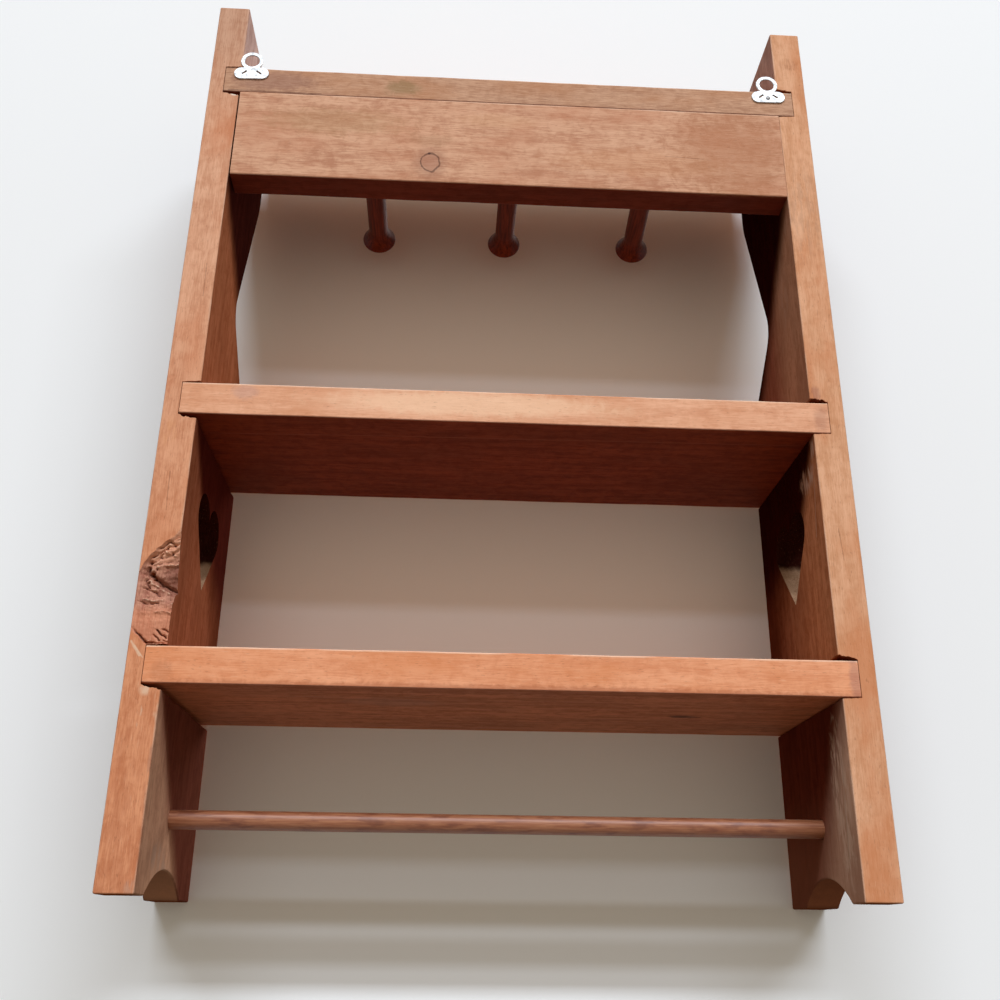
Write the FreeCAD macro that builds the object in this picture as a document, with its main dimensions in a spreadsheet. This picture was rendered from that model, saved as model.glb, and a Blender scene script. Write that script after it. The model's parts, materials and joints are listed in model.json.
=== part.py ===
"""Small wall plate rack in stained pine, with a peg rail and a dowel rail.

Two shaped sides carry three shelves in housings cut across their inner faces. A peg rail closes
the back under the top shelf, and a loose dowel turns in two blind sockets near the feet. Two
stamped ring hangers on the back edge of the top shelf hold the rack on the wall.

The frame of the part: +X is to the right of someone who faces the front, +Y points at the wall
and +Z is up. The origin is under the middle of the rack, level with its feet. In each piece's own
coordinates y = 0 is the plane of the back edges, which lie against the wall, so y runs from 0 at
the back to minus the piece's depth at the front. All lengths are in millimetres.
"""
import FreeCAD, Part
import math
import os

import Sketcher
from FreeCAD import Vector

# ---------------------------------------------------------------------------------------------
# Driving dimensions
# ---------------------------------------------------------------------------------------------

SIZES = [
    # boards
    ("overall_width", 380.0, "outer face to outer face of the two sides"),
    ("side_thickness", 19.0, "thickness of each side"),
    ("side_depth", 115.0, "back edge to front edge of the sides, from the feet to the hip"),
    ("shelf_thickness", 19.0, "thickness of the three shelves"),
    ("edge_round", 1.5, "rounding of the shelves' long front edges"),
    # heights, stacked from the feet upwards
    ("foot_height", 98.3, "clear height from the feet to the lower shelf"),
    ("lower_bay_height", 130.0, "clear height from the lower shelf to the middle shelf"),
    ("upper_bay_height", 142.5, "clear height from the middle shelf to the peg rail"),
    ("rail_height", 63.5, "height of the peg rail, whose top meets the top shelf"),
    ("ear_height", 49.7, "height of the sides above the top shelf"),
    # outline of the sides
    ("nose_depth", 95.0, "depth of the sides where they carry the top shelf"),
    ("shoulder_radius", 42.0, "round front corner of the sides above the top shelf"),
    ("nose_drop", 19.3, "straight front edge below the top shelf, before the edge turns in"),
    ("waist_depth", 58.0, "depth at the waist, where its two straight slopes would meet"),
    ("waist_rise", 82.2, "height of the waist above the middle shelf"),
    ("hip_rise", 32.2, "height above the middle shelf where the full depth begins"),
    ("nose_radius", 40.0, "easing of the edge below the top shelf"),
    ("waist_radius", 18.0, "hollow of the waist"),
    ("hip_radius", 20.0, "easing of the edge at the hip"),
    ("rear_foot_length", 17.5, "flat of the rear foot, front to back"),
    ("front_foot_length", 23.5, "flat of the front foot, front to back"),
    ("foot_arch_rise", 13.5, "height of the arch between the two feet of a side"),
    # heart cut-outs
    ("heart_inset", 58.0, "middle of the heart, measured from the back edge"),
    ("heart_rise", 46.7, "point of the heart above the lower shelf"),
    ("heart_lobe_height", 39.0, "centres of the heart's lobes above its point"),
    ("heart_lobe_radius", 14.0, "radius of the two lobes"),
    ("heart_lobe_overlap", 0.5, "how far each lobe reaches over the middle of the heart"),
    # housings of the shelves
    ("housing_depth", 10.0, "depth of the housings across the inner faces of the sides"),
    ("housing_slack", 0.6, "how much higher a housing is than the shelf in it"),
    ("shelf_end_gap", 0.2, "gap between a shelf's end and the floor of its housing"),
    # peg rail and pegs
    ("rail_thickness", 19.0, "thickness of the peg rail"),
    ("rail_end_gap", 0.1, "gap between each end of the peg rail and the side beside it"),
    ("peg_spacing", 85.5, "distance between neighbouring pegs"),
    ("peg_rise", 19.0, "axis of the pegs above the lower edge of the peg rail"),
    ("peg_projection", 73.0, "length of a peg in front of the rail"),
    ("peg_shaft_diameter", 12.7, "straight shaft of a peg"),
    ("peg_head_diameter", 22.0, "widest part of a peg's head"),
    ("peg_head_length", 17.0, "length of the flared head"),
    ("peg_dome_height", 5.0, "height of the domed end in front of the widest part"),
    ("peg_flare_radius", 30.0, "hollow flare from the shaft to the head"),
    ("peg_tenon_diameter", 9.5, "tenon of a peg, glued into the rail"),
    ("peg_tenon_length", 13.0, "length of the tenon"),
    ("tenon_clearance", 0.05, "glue gap round and behind a tenon"),
    # dowel rail
    ("dowel_diameter", 10.0, "loose dowel between the sides"),
    ("dowel_rise", 38.3, "axis of the dowel above the feet"),
    ("dowel_inset", 51.5, "axis of the dowel, measured from the back edge"),
    ("socket_depth", 9.0, "depth of the blind sockets of the dowel"),
    ("socket_clearance", 0.08, "running clearance round the dowel"),
    ("dowel_end_play", 0.5, "free play at each end of the dowel"),
    ("dowel_chamfer", 0.8, "chamfer at the dowel's ends"),
    # nails through the sides
    ("nail_diameter", 1.6, "shank of the nails through the sides"),
    ("nail_length", 38.0, "length of those nails under their heads"),
    ("nail_head_diameter", 2.6, "head of the nails"),
    ("nail_head_thickness", 0.8, "thickness of the heads"),
    ("nail_set", 0.3, "depth of the heads below the outer faces"),
    ("nail_clearance", 0.03, "gap that the wood leaves round the nails"),
    ("shelf_nail_inset", 22.0, "nails of a shelf, measured from its back and front edges"),
    ("rail_nail_inset", 15.0, "nails of the peg rail, measured from its lower and upper edges"),
    # ring hangers
    ("hanger_inset", 6.0, "middle of a hanger, measured inwards from the side's inner face"),
    ("hanger_thickness", 1.0, "sheet thickness of the hangers"),
    ("hanger_rise", 24.0, "middle of the ring above the underside of the top shelf"),
    ("ring_outer_diameter", 13.8, "outside of the hanging ring"),
    ("ring_hole_diameter", 9.4, "hole of the hanging ring"),
    ("plate_lobe_radius", 4.4, "round ends of the hanger's plate"),
    ("plate_lobe_offset", 6.4, "centres of those ends, measured from the middle of the hanger"),
    ("plate_drop", 9.8, "centres of those ends below the middle of the ring"),
    ("plate_neck_width", 9.6, "width of the plate where it meets the ring"),
    ("plate_neck_drop", 4.6, "where the plate's neck meets the ring, below the ring's middle"),
    ("prong_offset", 4.5, "middle of a prong's slot, measured from the middle of the hanger"),
    ("prong_drop", 9.3, "middle of a prong's slot below the middle of the ring"),
    ("prong_width", 3.8, "length of the slot that each prong is bent out of"),
    ("slot_height", 0.9, "height of that slot"),
    ("prong_thickness", 0.6, "thickness of a prong"),
    ("prong_angle", 38.0, "slant of the prongs, in degrees from level"),
    ("prong_length", 6.0, "length of the prongs in the wood"),
    ("prong_clearance", 0.03, "gap that the wood leaves round the prongs"),
    # round-headed nail of the left hanger
    ("tack_drop", 10.9, "axis of the hanger's nail below the middle of the ring"),
    ("tack_diameter", 1.2, "shank of the hanger's nail"),
    ("tack_length", 12.0, "length of the hanger's nail under its head"),
    ("tack_head_diameter", 2.8, "head of the hanger's nail"),
    ("tack_head_height", 0.5, "height of that head"),
]

doc = FreeCAD.newDocument("PlateRack")
sheet = doc.addObject("Spreadsheet::Sheet", "Sizes")
for row, (alias, number, meaning) in enumerate(SIZES, start=1):
    sheet.set(f"A{row}", meaning)
    sheet.set(f"B{row}", str(number))
    sheet.setAlias(f"B{row}", alias)
doc.recompute()

# Places that several pieces share, in the sheet's names
HALF_WIDTH = "Sizes.overall_width / 2"
INNER_HALF = f"({HALF_WIDTH} - Sizes.side_thickness)"
REAR = "(Sizes.side_depth - Sizes.hanger_thickness - Sizes.tack_head_height) / 2"
LOWER_SHELF = "Sizes.foot_height"
MIDDLE_SHELF = f"({LOWER_SHELF} + Sizes.shelf_thickness + Sizes.lower_bay_height)"
MIDDLE_TOP = f"({MIDDLE_SHELF} + Sizes.shelf_thickness)"
PEG_RAIL = f"({MIDDLE_TOP} + Sizes.upper_bay_height)"
TOP_SHELF = f"({PEG_RAIL} + Sizes.rail_height)"
SIDE_TOP = f"({TOP_SHELF} + Sizes.shelf_thickness + Sizes.ear_height)"
NAIL_TIP = f"({HALF_WIDTH} - Sizes.nail_set - Sizes.nail_head_thickness - Sizes.nail_length)"
HANGER = f"({INNER_HALF} - Sizes.hanger_inset)"
RING = f"({TOP_SHELF} + Sizes.hanger_rise)"

# Lengths that only let a cut run past the face it goes through
OVERRUN = 1.0

# ---------------------------------------------------------------------------------------------
# Helpers: sketches whose every dimension is an expression of the sheet
# ---------------------------------------------------------------------------------------------


def number(expression):
    """The present value of an expression, as a plain number."""
    return float(sheet.evalExpression(expression.replace("Sizes.", "")))


def new_body(label, x="0", z="0", y=REAR):
    """An empty body whose own origin stands at (x, y, z)."""
    body = doc.addObject("PartDesign::Body", label)
    body.Label = label
    for axis, place in (("x", x), ("y", y), ("z", z)):
        body.setExpression(f"Placement.Base.{axis}", place)
    return body


def plane_of(body, role):
    """One of a body's own origin planes."""
    return next(feature for feature in body.Origin.OriginFeatures if feature.Role == role)


def new_sketch(body, name, role, offset="0"):
    """A sketch on an origin plane of the body, moved along the plane's normal by offset."""
    sketch = body.newObject("Sketcher::SketchObject", f"{body.Name}_{name}")
    sketch.AttachmentSupport = (plane_of(body, role), [""])
    sketch.MapMode = "FlatFace"
    sketch.setExpression("AttachmentOffset.Base.z", offset)
    return sketch


def pin_point(sketch, geometry, end, u, v):
    """Tie a point of the sketch to the coordinates given by two expressions."""
    for kind, expression in (("DistanceX", u), ("DistanceY", v)):
        index = sketch.addConstraint(
            Sketcher.Constraint(kind, -1, 1, geometry, end, number(expression)))
        sketch.setExpression(f"Constraints[{index}]", expression)


def size_radius(sketch, geometry, radius):
    """Tie the radius of a circle or an arc to an expression."""
    index = sketch.addConstraint(Sketcher.Constraint("Radius", geometry, number(radius)))
    sketch.setExpression(f"Constraints[{index}]", radius)


def draw_circle(sketch, u, v, radius):
    """A circle with its centre and its radius given by expressions."""
    centre = Vector(number(u), number(v), 0)
    circle = sketch.addGeometry(Part.Circle(centre, Vector(0, 0, 1), number(radius)), False)
    pin_point(sketch, circle, 3, u, v)
    size_radius(sketch, circle, radius)


def draw_outline(sketch, corners, arcs=None):
    """A closed outline through corners given by pairs of expressions.

    arcs maps the number of a stretch to a pair: the expression of its radius, and +1 where the
    stretch bends to the left of its direction of travel, or -1 where it bends to the right.
    """
    arcs = arcs or {}
    points = [Vector(number(u), number(v), 0) for u, v in corners]
    first = {}
    last = {}
    for i, start in enumerate(points):
        end = points[(i + 1) % len(points)]
        if i in arcs:
            radius, bend = arcs[i]
            chord = end - start
            # the middle of an arc lies beside the middle of its chord, by the arc's rise
            rise = number(radius) - math.sqrt(number(radius) ** 2 - chord.Length ** 2 / 4)
            outward = Vector(chord.y, -chord.x, 0).normalize() * bend
            through = (start + end) * 0.5 + outward * rise
            piece = sketch.addGeometry(Part.Arc(start, through, end), False)
            first[i], last[i] = ((piece, 1), (piece, 2)) if bend > 0 else ((piece, 2), (piece, 1))
        else:
            piece = sketch.addGeometry(Part.LineSegment(start, end), False)
            first[i], last[i] = (piece, 1), (piece, 2)
    for i, (u, v) in enumerate(corners):
        following = (i + 1) % len(corners)
        sketch.addConstraint(Sketcher.Constraint("Coincident", *last[i], *first[following]))
        pin_point(sketch, *first[i], u, v)
    for i, (radius, _) in arcs.items():
        size_radius(sketch, first[i][0], radius)


def rectangle(u0, v0, u1, v1):
    """The corners of an upright rectangle."""
    return [(u0, v0), (u1, v0), (u1, v1), (u0, v1)]


def add_pad(body, sketch, length, reverse=False):
    """Raise a sketch into a solid, along the sketch's normal unless it is reversed."""
    pad = body.newObject("PartDesign::Pad", f"{sketch.Name}_pad")
    pad.Profile = sketch
    pad.setExpression("Length", length)
    pad.Reversed = reverse
    doc.recompute()
    return pad


def add_pocket(body, sketch, length=None, reverse=False):
    """Cut a sketch out of the body, and make sure that it really took wood away."""
    before = body.Shape.Volume
    pocket = body.newObject("PartDesign::Pocket", f"{sketch.Name}_pocket")
    pocket.Profile = sketch
    pocket.Reversed = reverse
    if length is None:
        pocket.Type = "ThroughAll"
    else:
        pocket.setExpression("Length", length)
    doc.recompute()
    if body.Shape.Volume >= before:
        raise RuntimeError(f"{pocket.Name} cuts nothing")
    return pocket


def add_fillet(body, edges, radius):
    """Round some edges of the body's present shape."""
    base = body.Tip
    fillet = body.newObject("PartDesign::Fillet", f"{body.Name}_fillet")
    fillet.Base = (base, edges)
    fillet.setExpression("Radius", radius)
    doc.recompute()
    return fillet


def add_mirror(body, features, role):
    """Repeat features on the other side of one of the body's origin planes."""
    mirror = body.newObject("PartDesign::Mirrored", f"{body.Name}_mirror")
    mirror.Originals = features
    mirror.MirrorPlane = (plane_of(body, role), [""])
    body.Tip = mirror
    doc.recompute()
    return mirror


def edges_at(body, axis, **place):
    """Names of the straight edges that run along an axis through a place, such as y=0, z=10.

    The place is given in the body's own coordinates.
    """
    shape = body.Tip.Shape
    found = []
    for i, edge in enumerate(shape.Edges, start=1):
        run = edge.Vertexes[-1].Point - edge.Vertexes[0].Point
        along = abs(getattr(run, axis))
        if along < 0.999 * run.Length or run.Length == 0:
            continue
        middle = (edge.Vertexes[-1].Point + edge.Vertexes[0].Point) * 0.5
        if all(abs(getattr(middle, name) - value) < 0.01 for name, value in place.items()):
            found.append(f"Edge{i}")
    if not found:
        raise RuntimeError(f"{body.Label} has no edge along {axis} at {place}")
    return found


# ---------------------------------------------------------------------------------------------
# The sides
# ---------------------------------------------------------------------------------------------

# What is nailed through the sides: the shelves at two depths each, the peg rail at two heights
SHELVES = {
    "lower_shelf": (LOWER_SHELF, "Sizes.side_depth"),
    "middle_shelf": (MIDDLE_SHELF, "Sizes.side_depth"),
    "top_shelf": (TOP_SHELF, "Sizes.nose_depth"),
}


def shelf_nail_places(depth, underside):
    """Where the two nails at each end of a shelf go, as (y, z) in a side's own coordinates."""
    height = f"{underside} + Sizes.shelf_thickness / 2"
    return [("-Sizes.shelf_nail_inset", height), (f"Sizes.shelf_nail_inset - {depth}", height)]


def rail_nail_places(underside):
    """Where the two nails at each end of the peg rail go."""
    inset = "-Sizes.rail_thickness / 2"
    return [(inset, f"{underside} + Sizes.rail_nail_inset"),
            (inset, f"{underside} + Sizes.rail_height - Sizes.rail_nail_inset")]


def draw_heart(sketch):
    """A heart with its point down: two lobes, and two straight flanks that run into them."""
    middle = "-Sizes.heart_inset"
    tip_height = f"({LOWER_SHELF} + Sizes.shelf_thickness + Sizes.heart_rise)"
    lobe_offset = "(Sizes.heart_lobe_radius - Sizes.heart_lobe_overlap)"
    lobe_height = f"({tip_height} + Sizes.heart_lobe_height)"
    tip = Vector(number(middle), number(tip_height), 0)
    radius = number("Sizes.heart_lobe_radius")
    offset = number(lobe_offset)
    rise = number("Sizes.heart_lobe_height")
    # a flank leaves the point of the heart at this angle and touches the lobe at its end
    reach = math.hypot(offset, rise)
    slope = math.atan2(rise, offset) - math.asin(radius / reach)
    flank = math.sqrt(reach ** 2 - radius ** 2)
    cleft = tip + Vector(0, rise + math.sqrt(radius ** 2 - offset ** 2), 0)
    lobes = []
    flanks = []
    for side in (1, -1):
        touch = tip + Vector(side * math.cos(slope), math.sin(slope), 0) * flank
        crown = tip + Vector(side * offset, rise + radius, 0)
        lobes.append(sketch.addGeometry(Part.Arc(touch, crown, cleft), False))
        flanks.append(sketch.addGeometry(Part.LineSegment(tip, touch), False))
    # an arc of a sketch always runs anticlockwise, so the two lobes meet end to start
    touch_ends = (1, 2)
    cleft_ends = (2, 1)
    for lobe, line, side, touch_end in zip(lobes, flanks, ("+", "-"), touch_ends):
        pin_point(sketch, lobe, 3, f"{middle} {side} {lobe_offset}", lobe_height)
        size_radius(sketch, lobe, "Sizes.heart_lobe_radius")
        sketch.addConstraint(Sketcher.Constraint("Tangent", line, 2, lobe, touch_end))
    sketch.addConstraint(
        Sketcher.Constraint("Coincident", lobes[0], cleft_ends[0], lobes[1], cleft_ends[1]))
    sketch.addConstraint(Sketcher.Constraint("Coincident", flanks[0], 1, flanks[1], 1))
    pin_point(sketch, flanks[0], 1, middle, tip_height)


def make_side(label, hand):
    """One side. hand is +1 for the right side and -1 for the left.

    The body's own x = 0 is the inner face, and the board lies outwards of it.
    """
    outward_is_normal = hand > 0
    body = new_body(label, x=f"{hand} * {INNER_HALF}")

    # outline: straight back, flat feet, full depth up to the hip, waist, nose, square top
    outline = new_sketch(body, "outline", "YZ_Plane")
    corners = [
        ("0", "0"),
        ("-Sizes.side_depth", "0"),
        ("-Sizes.side_depth", f"{MIDDLE_TOP} + Sizes.hip_rise"),
        ("-Sizes.waist_depth", f"{MIDDLE_TOP} + Sizes.waist_rise"),
        ("-Sizes.nose_depth", f"{TOP_SHELF} - Sizes.nose_drop"),
        ("-Sizes.nose_depth", SIDE_TOP),
        ("0", SIDE_TOP),
    ]
    draw_outline(outline, corners)
    add_pad(body, outline, "Sizes.side_thickness", reverse=not outward_is_normal)
    rounded = ((2, "Sizes.hip_radius"), (3, "Sizes.waist_radius"), (4, "Sizes.nose_radius"),
               (5, "Sizes.shoulder_radius"))
    for corner, radius in rounded:
        y, z = (number(expression) for expression in corners[corner])
        add_fillet(body, edges_at(body, "x", y=y, z=z), radius)

    # the arch between the feet is the cap of a circle whose centre lies below the floor
    arch = new_sketch(body, "foot_arch", "YZ_Plane")
    half = "((Sizes.side_depth - Sizes.rear_foot_length - Sizes.front_foot_length) / 2)"
    rise = "Sizes.foot_arch_rise"
    arch_radius = f"({half} * {half} + {rise} * {rise}) / (2 * {rise})"
    draw_circle(arch, f"-Sizes.rear_foot_length - {half}", f"{rise} - {arch_radius}", arch_radius)
    add_pocket(body, arch, reverse=outward_is_normal)

    heart = new_sketch(body, "heart", "YZ_Plane")
    draw_heart(heart)
    add_pocket(body, heart, reverse=outward_is_normal)

    # housings run across the whole inner face, and each shelf rests on the floor of its own
    for shelf, (underside, depth) in SHELVES.items():
        housing = new_sketch(body, f"{shelf}_housing", "YZ_Plane")
        ceiling = f"{underside} + Sizes.shelf_thickness + Sizes.housing_slack"
        draw_outline(housing, rectangle(f"-{depth} - {OVERRUN}", underside, f"{OVERRUN}", ceiling))
        add_pocket(body, housing, "Sizes.housing_depth", reverse=outward_is_normal)

    socket = new_sketch(body, "dowel_socket", "YZ_Plane")
    draw_circle(socket, "-Sizes.dowel_inset", "Sizes.dowel_rise",
                "Sizes.dowel_diameter / 2 + Sizes.socket_clearance")
    add_pocket(body, socket, "Sizes.socket_depth", reverse=outward_is_normal)

    # nail holes, with room for the heads just under the outer face
    places = rail_nail_places(PEG_RAIL)
    for underside, depth in SHELVES.values():
        places += shelf_nail_places(depth, underside)
    holes = new_sketch(body, "nail_holes", "YZ_Plane")
    for y, z in places:
        draw_circle(holes, y, z, "Sizes.nail_diameter / 2 + Sizes.nail_clearance")
    add_pocket(body, holes, reverse=outward_is_normal)
    heads = new_sketch(body, "nail_heads", "YZ_Plane", offset=f"{hand} * Sizes.side_thickness")
    for y, z in places:
        draw_circle(heads, y, z, "Sizes.nail_head_diameter / 2 + Sizes.nail_clearance")
    add_pocket(body, heads, "Sizes.nail_set + Sizes.nail_head_thickness",
               reverse=not outward_is_normal)
    return body


# ---------------------------------------------------------------------------------------------
# The shelves, the peg rail and the nails that hold them
# ---------------------------------------------------------------------------------------------


def drill_ends(body, places):
    """Nail holes in both ends of a board, from the nails' tips outwards."""
    holes = new_sketch(body, "nail_holes", "YZ_Plane", offset=NAIL_TIP)
    for y, z in places:
        draw_circle(holes, y, z, "Sizes.nail_diameter / 2 + Sizes.nail_clearance")
    drilled = add_pocket(body, holes, reverse=True)
    return add_mirror(body, [drilled], "YZ_Plane")


def make_nails(label, places, z):
    """The four nails of one board, two at each end, driven through the sides."""
    body = new_body(label, z=z)
    shanks = new_sketch(body, "shanks", "YZ_Plane", offset=NAIL_TIP)
    for across, up in places:
        draw_circle(shanks, across, up, "Sizes.nail_diameter / 2")
    shank = add_pad(body, shanks, "Sizes.nail_length")
    heads = new_sketch(body, "heads", "YZ_Plane", offset=f"{NAIL_TIP} + Sizes.nail_length")
    for across, up in places:
        draw_circle(heads, across, up, "Sizes.nail_head_diameter / 2")
    head = add_pad(body, heads, "Sizes.nail_head_thickness")
    add_mirror(body, [shank, head], "YZ_Plane")
    return body


def make_shelf(label):
    """A shelf whose ends reach into the housings, with its front edges a little rounded."""
    underside, depth = SHELVES[label]
    body = new_body(label, z=underside)
    board = new_sketch(body, "board", "XY_Plane")
    half = f"({INNER_HALF} + Sizes.housing_depth - Sizes.shelf_end_gap)"
    draw_outline(board, rectangle(f"-{half}", f"-{depth}", half, "0"))
    add_pad(body, board, "Sizes.shelf_thickness")
    front = -number(depth)
    add_fillet(body, edges_at(body, "x", y=front), "Sizes.edge_round")
    drill_ends(body, shelf_nail_places(depth, "0"))
    return body


def prong_corners(side, grow="0"):
    """The slanted section of one prong, which lies along the lower side of its slot.

    The corners are in the plane of the hanger, measured from the middle of the ring. side is +1
    or -1, and grow widens the section all round.
    """
    cos = "cos(Sizes.prong_angle * 1deg)"
    sin = "sin(Sizes.prong_angle * 1deg)"
    low = f"(-Sizes.slot_height / 2 - Sizes.prong_thickness - {grow})"
    high = f"(-Sizes.slot_height / 2 + {grow})"
    reach = f"(Sizes.prong_width / 2 + {grow})"
    corners = []
    for along, across in ((f"-{reach}", low), (reach, low), (reach, high), (f"-{reach}", high)):
        u = f"{side} * (Sizes.prong_offset + {along} * {cos} + {across} * {sin})"
        v = f"-Sizes.prong_drop - {along} * {sin} + {across} * {cos}"
        corners.append((u, v))
    return corners


def slot_corners(side):
    """The slot that a prong was bent out of."""
    cos = "cos(Sizes.prong_angle * 1deg)"
    sin = "sin(Sizes.prong_angle * 1deg)"
    corners = []
    for along, across in ((-1, -1), (1, -1), (1, 1), (-1, 1)):
        u = (f"{side} * (Sizes.prong_offset + {along} * Sizes.prong_width / 2 * {cos}"
             f" + {across} * Sizes.slot_height / 2 * {sin})")
        v = (f"-Sizes.prong_drop - {along} * Sizes.prong_width / 2 * {sin}"
             f" + {across} * Sizes.slot_height / 2 * {cos}")
        corners.append((u, v))
    return corners


def shift(corners, u0, v0):
    """The same corners, measured from another origin."""
    return [(f"{u0} + {u}", f"{v0} + {v}") for u, v in corners]


def make_top_shelf():
    """The top shelf also takes the prongs of both hangers and the nail of the left one."""
    body = make_shelf("top_shelf")
    pierced = []
    slits = new_sketch(body, "prong_slits", "XZ_Plane")
    for side in (1, -1):
        draw_outline(slits, shift(prong_corners(side, "Sizes.prong_clearance"),
                                  HANGER, "Sizes.hanger_rise"))
    depth = "Sizes.prong_length + Sizes.prong_clearance"
    pierced.append(add_pocket(body, slits, depth, reverse=True))
    add_mirror(body, pierced, "YZ_Plane")
    tack_hole = new_sketch(body, "tack_hole", "XZ_Plane")
    draw_circle(tack_hole, f"-{HANGER}", "Sizes.hanger_rise - Sizes.tack_drop",
                "Sizes.tack_diameter / 2 + Sizes.nail_clearance")
    add_pocket(body, tack_hole,
               "Sizes.tack_length - Sizes.hanger_thickness + Sizes.nail_clearance", reverse=True)
    return body


def make_peg_rail():
    """The board across the back under the top shelf, with a row of sockets for the pegs."""
    body = new_body("peg_rail", z=PEG_RAIL)
    board = new_sketch(body, "board", "XZ_Plane")
    half = f"({INNER_HALF} - Sizes.rail_end_gap)"
    draw_outline(board, rectangle(f"-{half}", "0", half, "Sizes.rail_height"))
    add_pad(body, board, "Sizes.rail_thickness")
    sockets = new_sketch(body, "peg_sockets", "XZ_Plane", offset="Sizes.rail_thickness")
    for place in (-1, 0, 1):
        draw_circle(sockets, f"{place} * Sizes.peg_spacing", "Sizes.peg_rise",
                    "Sizes.peg_tenon_diameter / 2 + Sizes.tenon_clearance")
    add_pocket(body, sockets, "Sizes.peg_tenon_length + Sizes.tenon_clearance")
    drill_ends(body, rail_nail_places("0"))
    return body


# ---------------------------------------------------------------------------------------------
# Turned pieces
# ---------------------------------------------------------------------------------------------


def make_peg(label, place):
    """A turned peg: tenon, straight shaft, flared head with a domed end.

    The body's own y axis is the peg's axis, with y = 0 at the front face of the rail. place
    counts spacings to the right of the middle peg.
    """
    body = new_body(label, x=f"{place} * Sizes.peg_spacing", z=f"{PEG_RAIL} + Sizes.peg_rise",
                    y=f"{REAR} - Sizes.rail_thickness")
    profile = new_sketch(body, "profile", "XY_Plane")
    shaft = "Sizes.peg_shaft_diameter / 2"
    head = "Sizes.peg_head_diameter / 2"
    dome = "Sizes.peg_dome_height"
    corners = [
        ("0", "Sizes.peg_tenon_length"),
        ("0", "-Sizes.peg_projection"),
        (head, f"{dome} - Sizes.peg_projection"),
        (shaft, "Sizes.peg_head_length - Sizes.peg_projection"),
        (shaft, "0"),
        ("Sizes.peg_tenon_diameter / 2", "0"),
        ("Sizes.peg_tenon_diameter / 2", "Sizes.peg_tenon_length"),
    ]
    # the dome is the cap of a ball, and the flare is hollow
    dome_radius = f"(({head}) * ({head}) + {dome} * {dome}) / (2 * {dome})"
    draw_outline(profile, corners, {1: (dome_radius, 1), 2: ("Sizes.peg_flare_radius", -1)})
    turned = body.newObject("PartDesign::Revolution", f"{label}_turning")
    turned.Profile = profile
    turned.ReferenceAxis = (profile, ["V_Axis"])
    turned.Angle = 360
    doc.recompute()
    return body


def make_dowel():
    """The loose dowel, whose ends turn in the blind sockets of the sides."""
    body = new_body("dowel_rail", z="Sizes.dowel_rise", y=f"{REAR} - Sizes.dowel_inset")
    half = f"({INNER_HALF} + Sizes.socket_depth - Sizes.dowel_end_play)"
    section = new_sketch(body, "section", "YZ_Plane", offset=f"-{half}")
    draw_circle(section, "0", "0", "Sizes.dowel_diameter / 2")
    add_pad(body, section, f"2 * {half}")
    rod = body.Tip
    rims = [f"Edge{i}" for i, edge in enumerate(rod.Shape.Edges, start=1)
            if isinstance(edge.Curve, Part.Circle)]
    chamfer = body.newObject("PartDesign::Chamfer", "dowel_rail_chamfer")
    chamfer.Base = (rod, rims)
    chamfer.setExpression("Size", "Sizes.dowel_chamfer")
    doc.recompute()
    return body


# ---------------------------------------------------------------------------------------------
# Hangers
# ---------------------------------------------------------------------------------------------


def make_hanger(label, side):
    """A stamped hanger: a plate with round ends, a ring above it and two prongs bent backwards.

    The body's own origin is the middle of the ring, on the back face of the wood. side is +1
    for the hanger on the right and -1 for the one on the left.
    """
    body = new_body(label, x=f"{side} * {HANGER}", z=RING)
    thickness = "Sizes.hanger_thickness"
    lobe = "Sizes.plate_lobe_radius"
    reach = "Sizes.plate_lobe_offset"
    drop = "Sizes.plate_drop"
    plate = new_sketch(body, "plate", "XZ_Plane")
    draw_outline(
        plate,
        [
            (f"-{reach}", f"-{drop} - {lobe}"),
            (reach, f"-{drop} - {lobe}"),
            (f"{reach} + {lobe}", f"-{drop}"),
            (reach, f"{lobe} - {drop}"),
            ("Sizes.plate_neck_width / 2", "-Sizes.plate_neck_drop"),
            ("-Sizes.plate_neck_width / 2", "-Sizes.plate_neck_drop"),
            (f"-{reach}", f"{lobe} - {drop}"),
            (f"-{reach} - {lobe}", f"-{drop}"),
        ],
        {1: (lobe, 1), 2: (lobe, 1), 6: (lobe, 1), 7: (lobe, 1)})
    add_pad(body, plate, thickness, reverse=True)
    ring = new_sketch(body, "ring", "XZ_Plane")
    draw_circle(ring, "0", "0", "Sizes.ring_outer_diameter / 2")
    add_pad(body, ring, thickness, reverse=True)
    hole = new_sketch(body, "ring_hole", "XZ_Plane")
    draw_circle(hole, "0", "0", "Sizes.ring_hole_diameter / 2")
    add_pocket(body, hole)
    slots = new_sketch(body, "slots", "XZ_Plane")
    for half in (1, -1):
        draw_outline(slots, slot_corners(half))
    add_pocket(body, slots)
    prongs = new_sketch(body, "prongs", "XZ_Plane")
    for half in (1, -1):
        draw_outline(prongs, prong_corners(half))
    add_pad(body, prongs, "Sizes.prong_length")
    if side < 0:
        tack_hole = new_sketch(body, "tack_hole", "XZ_Plane")
        draw_circle(tack_hole, "0", "-Sizes.tack_drop",
                    "Sizes.tack_diameter / 2 + Sizes.nail_clearance")
        add_pocket(body, tack_hole)
    return body


def make_tack():
    """The small nail through the left hanger, with its head on the plate."""
    body = new_body("hanger_nail", x=f"-{HANGER}", z=f"{RING} - Sizes.tack_drop",
                    y=f"{REAR} + Sizes.hanger_thickness")
    shank = new_sketch(body, "shank", "XZ_Plane")
    draw_circle(shank, "0", "0", "Sizes.tack_diameter / 2")
    add_pad(body, shank, "Sizes.tack_length")
    head = new_sketch(body, "head", "XZ_Plane")
    draw_circle(head, "0", "0", "Sizes.tack_head_diameter / 2")
    add_pad(body, head, "Sizes.tack_head_height", reverse=True)
    return body


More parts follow.
